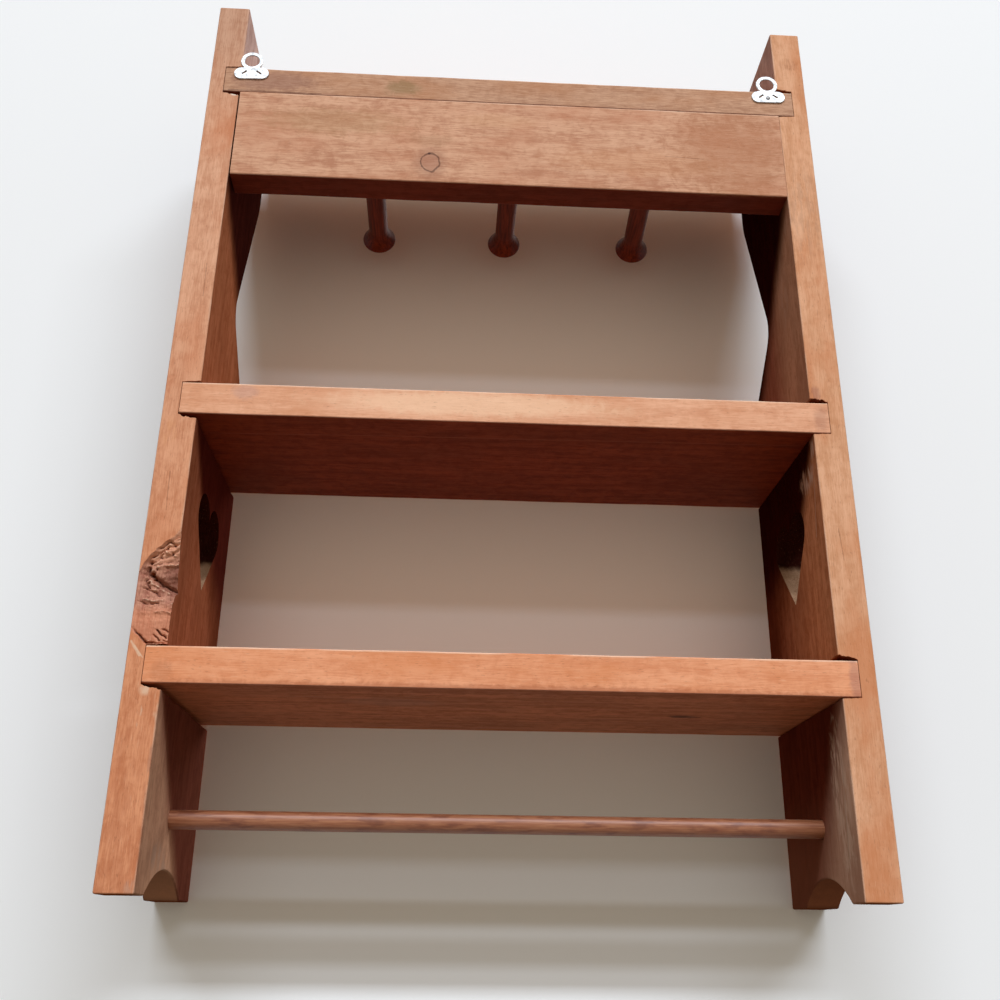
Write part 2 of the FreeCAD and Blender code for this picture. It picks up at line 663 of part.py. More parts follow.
# ---------------------------------------------------------------------------------------------
# The rack
# ---------------------------------------------------------------------------------------------

pieces = [
    make_side("left_side", -1),
    make_side("right_side", 1),
    make_shelf("lower_shelf"),
    make_shelf("middle_shelf"),
    make_top_shelf(),
    make_peg_rail(),
    make_dowel(),
    make_hanger("left_hanger", -1),
    make_hanger("right_hanger", 1),
    make_tack(),
]
for name, spot in (("left_peg", -1), ("middle_peg", 0), ("right_peg", 1)):
    pieces.append(make_peg(name, spot))
for name, (underside, depth) in SHELVES.items():
    pieces.append(make_nails(f"{name}_nails", shelf_nail_places(depth, "0"), underside))
pieces.append(make_nails("peg_rail_nails", rail_nail_places("0"), PEG_RAIL))

doc.recompute()

# every object must have come out sound before anything is written
for item in doc.Objects:
    if "Invalid" in item.State or "Error" in item.State:
        raise RuntimeError(f"{item.Name} failed: {item.State}")
for piece in pieces:
    if piece.Shape.isNull() or not piece.Shape.isValid():
        raise RuntimeError(f"{piece.Label} has no sound shape")

os.makedirs("parts", exist_ok=True)
for piece in pieces:
    piece.Shape.exportStep(os.path.join("parts", f"{piece.Label}.step"))
    box = piece.Shape.BoundBox
    print(f"{piece.Label}: {len(piece.Shape.Solids)} solid(s), {piece.Shape.Volume:.0f} mm3, "
          f"x {box.XMin:.1f}..{box.XMax:.1f}, y {box.YMin:.1f}..{box.YMax:.1f}, "
          f"z {box.ZMin:.1f}..{box.ZMax:.1f}")
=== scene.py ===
# %% [markdown]
# # A pine wall rack, seen from behind
# The rack lies on its front on a white table. It is two sawn pine sides with a heart cut
# through each, three shelves let into housings, a rail with three turned pegs, a loose dowel
# between the feet, and two stamped hangers on the back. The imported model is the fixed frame:
# each dressed piece is built at the place that the frame gives, in metres.

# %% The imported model, and its box
import json
import math

import bpy
import bmesh
from mathutils import Matrix, Quaternion, Vector, noise

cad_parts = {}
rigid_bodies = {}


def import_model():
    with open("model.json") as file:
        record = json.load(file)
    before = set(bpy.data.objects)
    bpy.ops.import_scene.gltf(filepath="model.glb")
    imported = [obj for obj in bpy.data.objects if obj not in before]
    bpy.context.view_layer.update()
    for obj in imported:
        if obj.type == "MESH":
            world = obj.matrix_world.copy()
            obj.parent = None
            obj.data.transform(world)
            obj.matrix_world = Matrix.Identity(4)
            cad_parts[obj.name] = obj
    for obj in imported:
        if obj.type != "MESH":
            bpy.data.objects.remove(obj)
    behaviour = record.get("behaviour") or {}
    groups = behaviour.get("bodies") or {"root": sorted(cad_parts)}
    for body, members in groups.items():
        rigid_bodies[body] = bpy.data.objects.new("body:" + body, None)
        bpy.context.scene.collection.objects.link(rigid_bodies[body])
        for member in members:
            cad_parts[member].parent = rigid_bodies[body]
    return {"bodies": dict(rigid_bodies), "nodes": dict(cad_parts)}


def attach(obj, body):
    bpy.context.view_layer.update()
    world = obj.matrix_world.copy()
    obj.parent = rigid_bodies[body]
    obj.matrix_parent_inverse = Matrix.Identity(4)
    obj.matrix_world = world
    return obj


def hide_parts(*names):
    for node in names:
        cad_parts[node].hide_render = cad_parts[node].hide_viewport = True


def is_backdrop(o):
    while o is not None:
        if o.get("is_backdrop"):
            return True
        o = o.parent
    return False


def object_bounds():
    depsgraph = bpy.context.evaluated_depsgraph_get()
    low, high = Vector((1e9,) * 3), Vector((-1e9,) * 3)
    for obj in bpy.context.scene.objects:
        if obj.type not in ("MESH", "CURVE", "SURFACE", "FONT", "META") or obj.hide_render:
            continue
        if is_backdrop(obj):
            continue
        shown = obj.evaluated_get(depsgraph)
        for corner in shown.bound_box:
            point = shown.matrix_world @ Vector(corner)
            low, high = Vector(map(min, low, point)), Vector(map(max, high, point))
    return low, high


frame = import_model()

kept = set(frame["nodes"].values()) | set(frame["bodies"].values())
for extra in [o for o in bpy.data.objects if o not in kept]:
    bpy.data.objects.remove(extra)
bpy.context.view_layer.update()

# %% [markdown]
# ## The camera
# The photograph was taken by hand above the foot end, looking along the rack towards its
# ears, so the sides run together upwards. A camera placed from measured points of the picture
# does this; turning it by eye until it looks right would never bring all edges home at once.

# %% The camera at the photograph's place
MM = 0.001
PICTURE_WIDTH, FOCAL_LENGTH = 1000, 1076.9    # in pixels of the photograph
SENSOR_WIDTH = 36.0


def add(name, data):
    """A new object of the scene."""
    made = bpy.data.objects.new(name, data)
    bpy.context.scene.collection.objects.link(made)
    return made


camera = add("camera", bpy.data.cameras.new("camera"))
bpy.context.scene.camera = camera
looking = Vector((-0.04532617, -0.92445514, 0.37858715))
camera.location = (0.028566, 0.591772, -0.017951)
camera.rotation_mode = "QUATERNION"
camera.rotation_quaternion = (looking.to_track_quat("-Z", "Y")
                              @ Quaternion((0, 0, 1), math.radians(0.5885)))
camera.data.sensor_width = SENSOR_WIDTH
camera.data.lens = FOCAL_LENGTH / PICTURE_WIDTH * SENSOR_WIDTH
camera.data.shift_x = -0.0042
camera.data.clip_start = 0.01
print("lens", round(camera.data.lens, 2), "mm")

# %% [markdown]
# ## Helpers of the workshop
# Boards are drawn in millimetres, as a joiner reads them, and turned into metres once.
# Cuts are real cuts: a boolean takes the tool's shape out of the wood, and what the modifiers
# make is then kept as a plain mesh, so that nothing is left to work out later.


# %% Drawing, cutting and easing wood
def shape(name, points, faces):
    """A mesh object from points in millimetres, its faces turned outwards."""
    mesh = bpy.data.meshes.new(name)
    mesh.from_pydata([Vector(p) * MM for p in points], [], faces)
    work = bmesh.new()
    work.from_mesh(mesh)
    bmesh.ops.recalc_face_normals(work, faces=work.faces)
    work.to_mesh(mesh)
    work.free()
    return add(name, mesh)


def settle(piece):
    """Keeps what the modifiers make as the piece's own plain mesh."""
    graph = bpy.context.evaluated_depsgraph_get()
    made = bpy.data.meshes.new_from_object(
        piece.evaluated_get(graph), preserve_all_data_layers=True, depsgraph=graph)
    old = piece.data
    piece.modifiers.clear()
    piece.data = made
    bpy.data.meshes.remove(old)
    made.name = piece.name
    return piece


def cut(piece, tool):
    """Takes the shape of the tool out of the piece."""
    step = piece.modifiers.new("cut", "BOOLEAN")
    step.operation, step.solver, step.object = "DIFFERENCE", "EXACT", tool
    settle(piece)
    bpy.data.objects.remove(tool)


def ease(piece, width, steps, from_angle=40):
    """Takes the sharpness off every corner sharper than an angle."""
    step = piece.modifiers.new("ease", "BEVEL")
    step.width, step.segments = width * MM, steps
    step.limit_method, step.angle_limit = "ANGLE", math.radians(from_angle)
    return settle(piece)


def finish_faces(piece, sharp_from=38):
    """Smooth shading that keeps flats flat and hard corners hard."""
    work = bmesh.new()
    work.from_mesh(piece.data)
    bmesh.ops.remove_doubles(work, verts=work.verts, dist=1e-6)
    for face in work.faces:
        face.smooth = True
    for edge in work.edges:
        edge.smooth = not (edge.is_manifold
                           and edge.calc_face_angle(0) > math.radians(sharp_from))
    work.to_mesh(piece.data)
    work.free()
    step = piece.modifiers.new("flats", "WEIGHTED_NORMAL")
    step.keep_sharp, step.weight = True, 80
    return settle(piece)


def wander(seed, *place):
    """A smooth random number between about -1 and 1 that belongs to a place."""
    x, y, z = (*place, 0.0, 0.0)[:3]
    return noise.noise(Vector((x + 17.3 * seed, y - 9.1 * seed, z + 4.7 * seed)))


# %% [markdown]
# ## The two sides
# Each side is one board, 19 mm thick, sawn to a scrolled front edge: a round shoulder, a nose
# under the top shelf, a hollow waist, a hip, and an arch between the feet. A row of corners
# with a radius at each is the shortest description of such an edge, and a small routine
# rounds them. Sawing by hand leaves the line slightly unsteady, so the points wander by a
# tenth of a millimetre, always inwards.

# %% The outline of a side
REAR, FRONT, TOP = 56.75, -58.25, 541.0    # the planes of the back and front edges, the ears' height
NOSE = REAR - 95                           # the front edge where a side carries the top shelf
INNER, OUTER = 171.0, 190.0                # a side's faces, from the middle of the rack
ARCH_MIDDLE, ARCH_RISE, ARCH_HALF = REAR - 54.5, 13.5, 37.0
HEART_MIDDLE = REAR - 58
UNSTEADY = 0.14


def round_corners(corners, step=2.5):
    """A closed line through (y, z, radius) corners, with an arc in place of each corner."""
    line = []
    for i, (y, z, radius) in enumerate(corners):
        here = Vector((y, z))
        if radius <= 0:
            line.append(here)
            continue
        before = (Vector(corners[i - 1][:2]) - here).normalized()
        after = (Vector(corners[(i + 1) % len(corners)][:2]) - here).normalized()
        half = before.angle(after) / 2
        reach = radius / math.tan(half)
        middle = here + (before + after).normalized() * (radius / math.sin(half))
        first, last = here + before * reach - middle, here + after * reach - middle
        turn = first.angle_signed(last)
        count = max(4, round(abs(turn) * radius / step))
        for k in range(count + 1):
            a = -turn * k / count
            line.append(middle + Vector((first.x * math.cos(a) - first.y * math.sin(a),
                                         first.x * math.sin(a) + first.y * math.cos(a))))
    return line


def side_outline(seed):
    """The side's edge, from the rear foot round to the rear foot again."""
    line = round_corners([
        (REAR, 0, 0), (REAR, TOP, 0), (NOSE, TOP, 42), (NOSE, 453, 40), (REAR - 58, 348.5, 18),
        (FRONT, 298.5, 20), (FRONT, 0, 0), (ARCH_MIDDLE - ARCH_HALF, 0, 0),
    ])
    radius = (ARCH_HALF * ARCH_HALF + ARCH_RISE * ARCH_RISE) / (2 * ARCH_RISE)
    reach = math.asin(ARCH_HALF / radius)
    for k in range(1, 25):
        a = -reach + 2 * reach * k / 24
        line.append(Vector((ARCH_MIDDLE + radius * math.sin(a),
                            ARCH_RISE - radius + radius * math.cos(a))))
    fine = []
    for i, point in enumerate(line):
        following = line[(i + 1) % len(line)]
        parts = max(1, round((following - point).length / 9))
        fine += [point.lerp(following, k / parts) for k in range(parts)]
    steady = []
    for p in fine:
        off = Vector((wander(seed, p.x / 21, p.y / 21), wander(seed + 3, p.x / 21, p.y / 21)))
        q = p if p.y < 0.01 else p + UNSTEADY * off
        steady.append(Vector((min(max(q.x, FRONT), REAR), min(max(q.y, 0), TOP))))
    return steady


print("points round a side:", len(side_outline(1)))


# %% [markdown]
# ## Hearts, housings, sockets
# The heart is two round lobes with straight flanks that meet in a point. Its flanks touch the
# lobes, so their touching points are worked out. The housings are cut a little too high and
# with a ragged edge, as a hand saw and chisel leave them: that dark, uneven gap above or below
# each shelf end is one of the first things one sees on the back of the rack.

# %% The tools that cut a side
def prism(name, line, x_from, x_to):
    """A line in (y, z), swept along x."""
    n = len(line)
    points = [(x, p[0], p[1]) for x in (x_from, x_to) for p in line]
    faces = [tuple(range(n)), tuple(range(2 * n - 1, n - 1, -1))]
    faces += [(i, i + n, (i + 1) % n + n, (i + 1) % n) for i in range(n)]
    return shape(name, points, faces)


def slab(name, n, m, points):
    """A closed block between two sheets of n by m points, listed one after the other."""
    faces = []
    for level in (0, n * m):
        for i in range(n - 1):
            for j in range(m - 1):
                a = level + i * m + j
                faces.append((a, a + 1, a + m + 1, a + m))
    rim = [i * m for i in range(n)] + [(n - 1) * m + j for j in range(1, m)]
    rim += [i * m + m - 1 for i in range(n - 2, -1, -1)] + list(range(m - 2, 0, -1))
    faces += [(a, b, b + n * m, a + n * m) for a, b in zip(rim, rim[1:] + rim[:1])]
    return shape(name, points, faces)


def circle(radius, count):
    """Points round a circle about nothing."""
    return [(radius * math.cos(a), radius * math.sin(a))
            for a in (math.tau * k / count for k in range(count))]


def heart_line(seed):
    """The heart, from its point up the rear flank, round both lobes and down again."""
    tip, lobe, apart, high = 164.0, 14.0, 13.5, 203.0
    offset = Vector((apart, high - tip))
    flank = math.sqrt(offset.length_squared - lobe * lobe)
    lean = math.atan2(offset.y, offset.x) - math.asin(lobe / offset.length)
    touch = Vector((math.cos(lean), math.sin(lean))) * flank
    start = (touch - offset).angle_signed(Vector((1, 0)))
    cleft = Vector((-apart, math.sqrt(lobe * lobe - apart * apart)))
    end = math.atan2(cleft.y, cleft.x)
    half = [Vector((0, 0)), touch * 0.33, touch * 0.66]
    for k in range(17):
        a = start + (end - start) * k / 16
        half.append(offset + lobe * Vector((math.cos(a), math.sin(a))))
    both = half + [Vector((-p.x, p.y)) for p in reversed(half[1:-1])]
    return [(HEART_MIDDLE + p.x + 0.25 * wander(seed, p.x / 7, p.y / 7),
             tip + p.y + 0.25 * wander(seed + 5, p.x / 7, p.y / 7)) for p in both]


def housing_tool(sign, low, high, above, below, seed):
    """The saw's and chisel's cut for a shelf, with the slack above and below it."""
    columns, rows = 16, 30
    start, across = INNER - 1.5, OUTER - 8.85 - INNER + 1.5
    points = []
    for level in (0, 1):
        for i in range(columns + 1):
            for j in range(rows + 1):
                x = start + across * i / columns
                y = REAR + 1 - 117 * (j / rows) ** 1.4
                torn = (1.05 - 0.65 * (x - INNER) / 10 + 0.3 * wander(seed + level, x / 2.6, y / 9)
                        + 0.2 * wander(seed + 7 + level, x / 0.9, y / 5))
                z = high + above * max(torn, 0.1) if level else low - below * max(torn, 0.0)
                points.append((sign * x, y, z))
    return slab("housing", columns + 1, rows + 1, points)


def bore_tool(sign, y, z, radius, x_from, x_to):
    """A drilled hole along x."""
    return prism("bore", [(y + a, z + b) for a, b in circle(radius, 40)], sign * x_from, sign * x_to)


print("points round a heart:", len(heart_line(1)))

# %% [markdown]
# ## The broken edge
# The outer rear edge of one side has been torn away between the two lower shelves. Torn pine
# breaks in steps across the grain, with splinters lifting at the top and a crack running out
# at the bottom. Sculpting is one way; here the break is a height map worked out from a few
# lines (ridges, pits, a crevice), because each line can be set to its place in the picture.


# %% The height map of the break
# places are (x, z); a pit has a width and a depth, a line of points too
BREAK_EDGE = [(168, 182.0), (171, 180.2), (174.5, 176.0), (177.5, 173.2), (181.0, 169.8),
              (184.4, 166.2), (187.2, 161.6), (189.2, 157.0), (192, 154), (192, 126.6),
              (190.4, 125.6), (185.6, 121.0), (181.5, 117.5), (176, 117.7), (168, 117.9)]
PITS = [(183.3, 155.4, 1.1, 3.6), (185.2, 158.2, 0.9, 2.4), (182.0, 152.6, 1.0, 3.0),
        (184.6, 161.0, 0.8, 1.6), (186.4, 154.2, 0.8, 1.6), (174.4, 166.2, 0.9, 1.8),
        (179.6, 164.0, 0.8, 1.4), (181.2, 157.6, 0.7, 1.6), (184.4, 150.6, 0.7, 1.6),
        (177.2, 169.0, 0.7, 1.3)]
CREVICES = [([(185.5, 156.6), (182.4, 153.6), (179.2, 151.2), (175.2, 148.8), (168, 145.9)], 1.1, 2.6),
            ([(191, 126.6), (189.4, 125.2), (185.6, 121.6), (182.6, 118.9)], 0.8, 3.4),
            ([(182.6, 118.9), (176, 118.3), (168, 118.4)], 0.45, 2.2),
            ([(186.8, 147.4), (182.6, 146.2), (178.4, 143.8)], 0.6, 0.9),
            ([(181.6, 171.4), (176.2, 172.8), (173.6, 170.8)], 0.7, 1.2),
            ([(187.2, 161.0), (182.6, 161.6), (178.4, 167.0)], 0.6, 1.0),
            ([(184.6, 166.6), (180.0, 169.6), (175.0, 173.2), (171, 175.6)], 0.35, 0.7),
            ([(186.4, 163.4), (181.4, 165.8), (176.4, 169.8), (171, 171.8)], 0.4, 0.8),
            ([(187.6, 157.6), (184.8, 154.0), (186.0, 150.6), (183.4, 147.8)], 0.5, 1.1),
            ([(188.8, 140.2), (183.6, 138.6), (178.0, 139.2)], 0.35, 0.6),
            ([(177.0, 125.2), (174.4, 122.8), (172.0, 121.6)], 0.45, 1.5),
            ([(178.4, 122.8), (175.2, 119.8)], 0.4, 1.2), ([(174.0, 126.0), (170.5, 123.8)], 0.4, 1.2),
            ([(173.6, 119.9), (170.5, 119.2)], 0.35, 0.9)]
RIDGES = [([(180.6, 171.9), (175.4, 175.2), (169, 178.9)], 0.7, 0.8),
          ([(181.0, 158.9), (176.4, 160.2), (169, 160.9)], 0.8, 1.3),
          ([(185.8, 141.6), (181.2, 140.4), (176.2, 141.2), (169, 139.0)], 0.7, 0.9),
          ([(178.6, 134.6), (174.6, 135.2), (169, 133.2)], 0.6, 0.9),
          ([(184.2, 151.0), (179.6, 148.6), (174.4, 145.4)], 0.8, 1.1),
          ([(177.8, 167.4), (173.0, 165.4)], 0.6, 0.8)]


def off_line(x, z, line):
    """Distance from a point to a line of points."""
    best, p = 1e9, Vector((x, z))
    for a, b in zip(line, line[1:]):
        a, b = Vector(a), Vector(b)
        t = min(max((p - a).dot(b - a) / (b - a).length_squared, 0), 1)
        best = min(best, (p - a - (b - a) * t).length)
    return best


def inside(x, z, line):
    """Whether a point lies inside a closed line."""
    hit = False
    for (x1, z1), (x2, z2) in zip(line, line[1:] + line[:1]):
        if (z1 > z) != (z2 > z) and x < x1 + (x2 - x1) * (z - z1) / (z2 - z1):
            hit = not hit
    return hit


def smooth(low, high, value):
    """0 below low, 1 above high, and a soft step between."""
    t = min(max((value - low) / (high - low), 0), 1)
    return t * t * (3 - 2 * t)


def break_depth(x, z):
    """How far the break goes below the rear face at a place, in mm; under 0 is whole wood."""
    x2 = x + 0.5 * wander(11, x / 2.2, z / 2.2)
    z2 = z + 0.6 * wander(12, x / 2.0, z / 2.0)
    rim = off_line(x2, z2, BREAK_EDGE + BREAK_EDGE[:1])
    if not inside(x2, z2, BREAK_EDGE):
        return -0.7 * smooth(0, 0.4, rim) - 0.02
    body = 0.8 + 1.3 * smooth(176, 160, z) - 1.3 * smooth(150, 134, z)
    body += smooth(184, 170, x) * (4.6 * math.exp(-((z - 148.5) / 6.5) ** 2)
                                   + 2.2 * math.exp(-((z - 161) / 9) ** 2))
    slant = z + 0.45 * (x - 180) * smooth(140, 160, z)
    body += 0.8 * wander(13, x / 6.5, slant / 2.6) * smooth(124, 140, z)
    for much, seed, wide in ((0.4, 14, 3.0), (0.3, 15, 1.1)):
        body += much * wander(seed, x / wide, slant / 0.9) * (0.3 + 0.7 * smooth(128, 142, z))
    for px, pz, wide, deep in PITS:
        body += deep * math.exp(-(((x2 - px) / wide) ** 2 + ((z2 - pz) / wide) ** 2))
    for lines, share in ((CREVICES, 1.1), (RIDGES, -0.9)):
        for line, wide, much in lines:
            body += share * much * math.exp(-(off_line(x2, z2, line) / wide) ** 2)
    outer = 1 - 0.75 * smooth(184.5, 189.5, x)
    return max(body, 0.12) * outer * smooth(0, 1.4, rim) + 0.05


def break_tool():
    """The air that takes the place of the torn wood."""
    xs = [169.6 + 21.2 * i / 48 for i in range(49)]
    zs = [114.0 + 69.0 * j / 150 for j in range(151)]
    points = [(x, REAR - break_depth(x, z), z) for x in xs for z in zs]
    points += [(x, REAR + 4, z) for x in xs for z in zs]
    return slab("break", len(xs), len(zs), points)


# %% Both sides, cut and eased
# a shelf's lower and upper face and its front edge; the (y, z) of the nails in a board's ends
SHELVES = {"lower_shelf": (98.3, 117.3, FRONT), "middle_shelf": (247.3, 266.3, FRONT),
           "top_shelf": (472.3, 491.3, NOSE)}
NAILS = {node + "_nails": [(y, (low + high) / 2) for y in (REAR - 22, front + 22)]
         for node, (low, high, front) in SHELVES.items()}
NAILS["peg_rail_nails"] = [(REAR - 9.5, 423.8), (REAR - 9.5, 457.3)]
DOWEL_Y, DOWEL_Z = 5.25, 38.3


def make_side(name, sign, seed, slack):
    """One side: outline, housings, heart, dowel socket and nail holes."""
    side = ease(prism(name, side_outline(seed), sign * INNER, sign * OUTER), 0.9, 3)
    for k, (low, high, _) in enumerate(SHELVES.values()):
        cut(side, housing_tool(sign, low, high, *slack, seed + 2 * k))
    cut(side, prism("heart", heart_line(seed), sign * (INNER - 2), sign * (OUTER + 2)))
    cut(side, bore_tool(sign, DOWEL_Y, DOWEL_Z, 5.2, INNER - 2, INNER + 9))
    for y, z in (place for row in NAILS.values() for place in row):
        cut(side, bore_tool(sign, y, z, 1.42, OUTER - 0.45, OUTER + 2))
    if sign > 0:
        cut(side, break_tool())
    return finish_faces(side)


left_side = make_side("sawn_side_left", -1, 1, (3.0, 0.8))
right_side = make_side("sawn_side_right", 1, 2, (0.9, 3.2))
for side in (left_side, right_side):
    print(side.name, len(side.data.polygons), "faces")

# %% [markdown]
# ## Shelves and rail
# These are planed boards. A board is swept along its length, and at each station its four
# long corners get a radius of their own, so that the arrises look handled rather than
# machined. The three shelves show only their rear edges and undersides here.


# %% Planed boards
def plank(name, half, y_span, z_span, rounds, seed):
    """A board along x; rounds are the radii at (rear low, rear high, front high, front low)."""
    (y0, y1), (z0, z1) = y_span, z_span
    corners = [(y1, z0, -1, 1, -90), (y1, z1, -1, -1, 0), (y0, z1, 1, -1, 90), (y0, z0, 1, 1, 180)]
    stations, arc = max(2, round(2 * half / 5)), 5
    points, faces, around = [], [], 4 * arc
    for s in range(stations + 1):
        x = -half + 2 * half * s / stations
        for c, (y, z, dy, dz, start) in enumerate(corners):
            radius = rounds[c] * (1 + 0.45 * wander(seed + c, x / 26) + 0.2 * wander(seed + c, x / 7))
            sag = [0.10 * abs(wander(seed + 9 + c, x / 40, k)) for k in (0, 1)]
            cy, cz = y + dy * (radius + sag[0]), z + dz * (radius + sag[1])
            for k in range(arc):
                a = math.radians(start + 90 * k / (arc - 1))
                points.append((x, cy + radius * math.cos(a), cz + radius * math.sin(a)))
    for s in range(stations):
        for k in range(around):
            a, b = s * around + k, s * around + (k + 1) % around
            faces.append((a, b, b + around, a + around))
    faces.append(tuple(range(around)))
    faces.append(tuple(range(stations * around, (stations + 1) * around)))
    return finish_faces(shape(name, points, faces), 50)


RAIL_LOW, RAIL_HIGH = 408.8, 472.3
boards = {}
for k, (node, (low, high, front)) in enumerate(SHELVES.items()):
    boards[node] = plank(node + "_board", 180.8, (front, REAR), (low, high), (0.7, 0.8, 1.5, 1.5),
                         20 + 5 * k)
boards["peg_rail"] = plank("peg_rail_board", 170.9, (REAR - 19, REAR), (RAIL_LOW, RAIL_HIGH - 0.05),
                           (1.1, 0.5, 0.6, 1.0), 41)
# the rail ends a little short of the right side
for v in boards["peg_rail"].data.vertices:
    if v.co.x > 170 * MM:
        v.co.x -= 0.7 * MM
print({n: len(b.data.polygons) for n, b in boards.items()})

# %% [markdown]
# ## Turned pegs
# A peg is a shape whose form follows a rule: a radius for each place along an axis. In
# Geometry Nodes that is a line whose radius is read from a drawn curve, swept with a circle.
# One tree turns all three pegs; only the two ends of the axis differ, and one peg leans.


# %% The tree that turns a peg
class Nodes:
    """A tree of nodes, with short ways to add a node and to set or link its inputs."""

    def __init__(self, tree):
        self.tree = tree

    def put(self, socket, value):
        """Links another node's output to a socket, or sets a plain value."""
        if isinstance(value, bpy.types.NodeSocket):
            self.tree.links.new(value, socket)
        else:
            socket.default_value = value

    def node(self, kind, inputs=None, **settings):
        """A new node; its inputs are given by name or by number."""
        made = self.tree.nodes.new(kind)
        for key, value in settings.items():
            setattr(made, key, value)
        for key, value in (inputs or {}).items():
            self.put(made.inputs[key], value)
        return made

    def sum(self, operation, a, b=0.0):
        """Plain arithmetic."""
        return self.node("ShaderNodeMath", {0: a, 1: b}, operation=operation).outputs[0]


class Maker(Nodes):
    """A tree of Geometry Nodes that hands out one smooth, painted mesh."""

    def __init__(self, name, takes):
        super().__init__(bpy.data.node_groups.new(name, "GeometryNodeTree"))
        self.tree.is_modifier = True
        for label, kind, value in (*takes, ("Finish", "Material", None)):
            item = self.tree.interface.new_socket(label, in_out="INPUT", socket_type="NodeSocket" + kind)
            if value is not None:
                item.default_value = value
        self.tree.interface.new_socket("Made", in_out="OUTPUT", socket_type="NodeSocketGeometry")
        self.given = self.node("NodeGroupInput").outputs

    def make(self, kind, inputs=None, **settings):
        """What a new geometry node gives out first."""
        return self.node("GeometryNode" + kind, inputs, **settings).outputs[0]

    def give(self, geometry):
        """Ends the tree: real mesh, smooth, with the finish that was asked for."""
        real = self.make("RealizeInstances", {"Geometry": geometry})
        soft = self.make("SetShadeSmooth", {"Geometry": real})
        painted = self.make("SetMaterial", {"Geometry": soft, "Material": self.given["Finish"]})
        self.node("NodeGroupOutput", {0: painted})
        return self.tree


def turning_tree(name, profile, widest, steps, around):
    """A tree that turns a profile of (place from 0 to 1, radius in mm) about its axis."""
    tree = Maker(name, [("Foot", "Vector", None), ("Tip", "Vector", None)])
    axis = tree.make("CurvePrimitiveLine", {"Start": tree.given["Foot"], "End": tree.given["Tip"]})
    fine = tree.make("ResampleCurve", {"Curve": axis, "Count": steps})
    along = tree.node("GeometryNodeSplineParameter").outputs["Factor"]
    drawn = tree.node("ShaderNodeFloatCurve", {"Value": along})
    curve = drawn.mapping.curves[0]
    while len(curve.points) < len(profile):
        curve.points.new(0.5, 0.5)
    for point, (place, radius) in zip(curve.points, profile):
        point.location = (place, radius / widest)
        point.handle_type = "VECTOR"
    drawn.mapping.update()
    size = tree.sum("MULTIPLY", drawn.outputs[0], widest * MM)
    sized = tree.make("SetCurveRadius", {"Curve": fine, "Radius": size})
    ring = tree.make("CurvePrimitiveCircle", {"Resolution": around, "Radius": 1.0})
    turned = tree.node("GeometryNodeCurveToMesh",
                       {"Curve": sized, "Profile Curve": ring, "Fill Caps": True})
    if "Scale" in turned.inputs:
        tree.put(turned.inputs["Scale"], size)
    return tree.give(turned.outputs[0])


def grow(name, tree, start=None, **inputs):
    """An object made by a tree, kept as a plain mesh; inputs are given by their names."""
    piece = add(name, start or bpy.data.meshes.new(name))
    step = piece.modifiers.new("tree", "NODES")
    step.node_group = tree
    for item in tree.interface.items_tree:
        if item.item_type == "SOCKET" and item.in_out == "INPUT" and item.name in inputs:
            step[item.identifier] = inputs[item.name]
    return settle(piece)


# %% [markdown]
# ## Finishes
# All the wood is pine under one thin brown stain. Where the stain lies on a planed face it is
# deep red-brown and satin; on the rear edges, which were handled and rubbed on walls, it is a
# pale salmon. A finish is mixed from noise that is stretched along the grain: long bands for
# the growth rings, hairlines for the fibres, and short dashes where pores took more stain.


# %% Mixing a finish
def linear(tone):
    """An (r, g, b) read from a screen, as the light values of a material; all else as it is."""
    if not isinstance(tone, tuple) or len(tone) != 3:
        return tone
    return tuple(c / 3294.6 if c <= 10.31 else ((c / 255 + 0.055) / 1.055) ** 2.4 for c in tone) + (1.0,)


class Finish(Nodes):
    """A material that is mixed step by step on object coordinates."""

    def __init__(self, name, **values):
        self.material = bpy.data.materials.new(name)
        self.material.use_nodes = True
        super().__init__(self.material.node_tree)
        self.shader = self.tree.nodes["Principled BSDF"]
        for label, value in values.items():
            self.shade(label, value)
        self.place = self.node("ShaderNodeTexCoord").outputs["Object"]

    def shade(self, label, value):
        """Sets or links one of the shader's own inputs."""
        self.put(self.shader.inputs[label.replace("_", " ")], linear(value))

    def stretched(self, squeeze, shift=(0, 0, 0)):
        """Coordinates squeezed along the grain, so that a pattern on them is stretched."""
        return self.node("ShaderNodeMapping", {"Vector": self.place, "Scale": squeeze,
                                               "Location": shift}).outputs[0]

    def cloud(self, place, scale, detail=3, rough=0.6, warp=0.0):
        """A cloudy number from 0 to 1."""
        return self.node("ShaderNodeTexNoise", {"Vector": place, "Scale": scale, "Detail": detail,
                                                "Roughness": rough, "Distortion": warp}).outputs["Fac"]

    def step(self, value, low, high, to_low=0.0, to_high=1.0):
        """A soft step: to_low below low and to_high above high."""
        return self.node("ShaderNodeMapRange", {
            "Value": value, "From Min": low, "From Max": high, "To Min": to_low, "To Max": to_high,
        }, interpolation_type="SMOOTHSTEP").outputs[0]

    def mix(self, share, a, b, mode="MIX"):
        """Two colours, mixed by a share."""
        return self.node("ShaderNodeMix", {0: share, 6: linear(a), 7: linear(b)},
                         data_type="RGBA", blend_type=mode).outputs[2]

    def bump(self, height, strength, distance):
        """Small relief that only the light sees."""
        self.shade("Normal", self.node("ShaderNodeBump", {
            "Height": height, "Strength": strength, "Distance": distance * MM}).outputs[0])


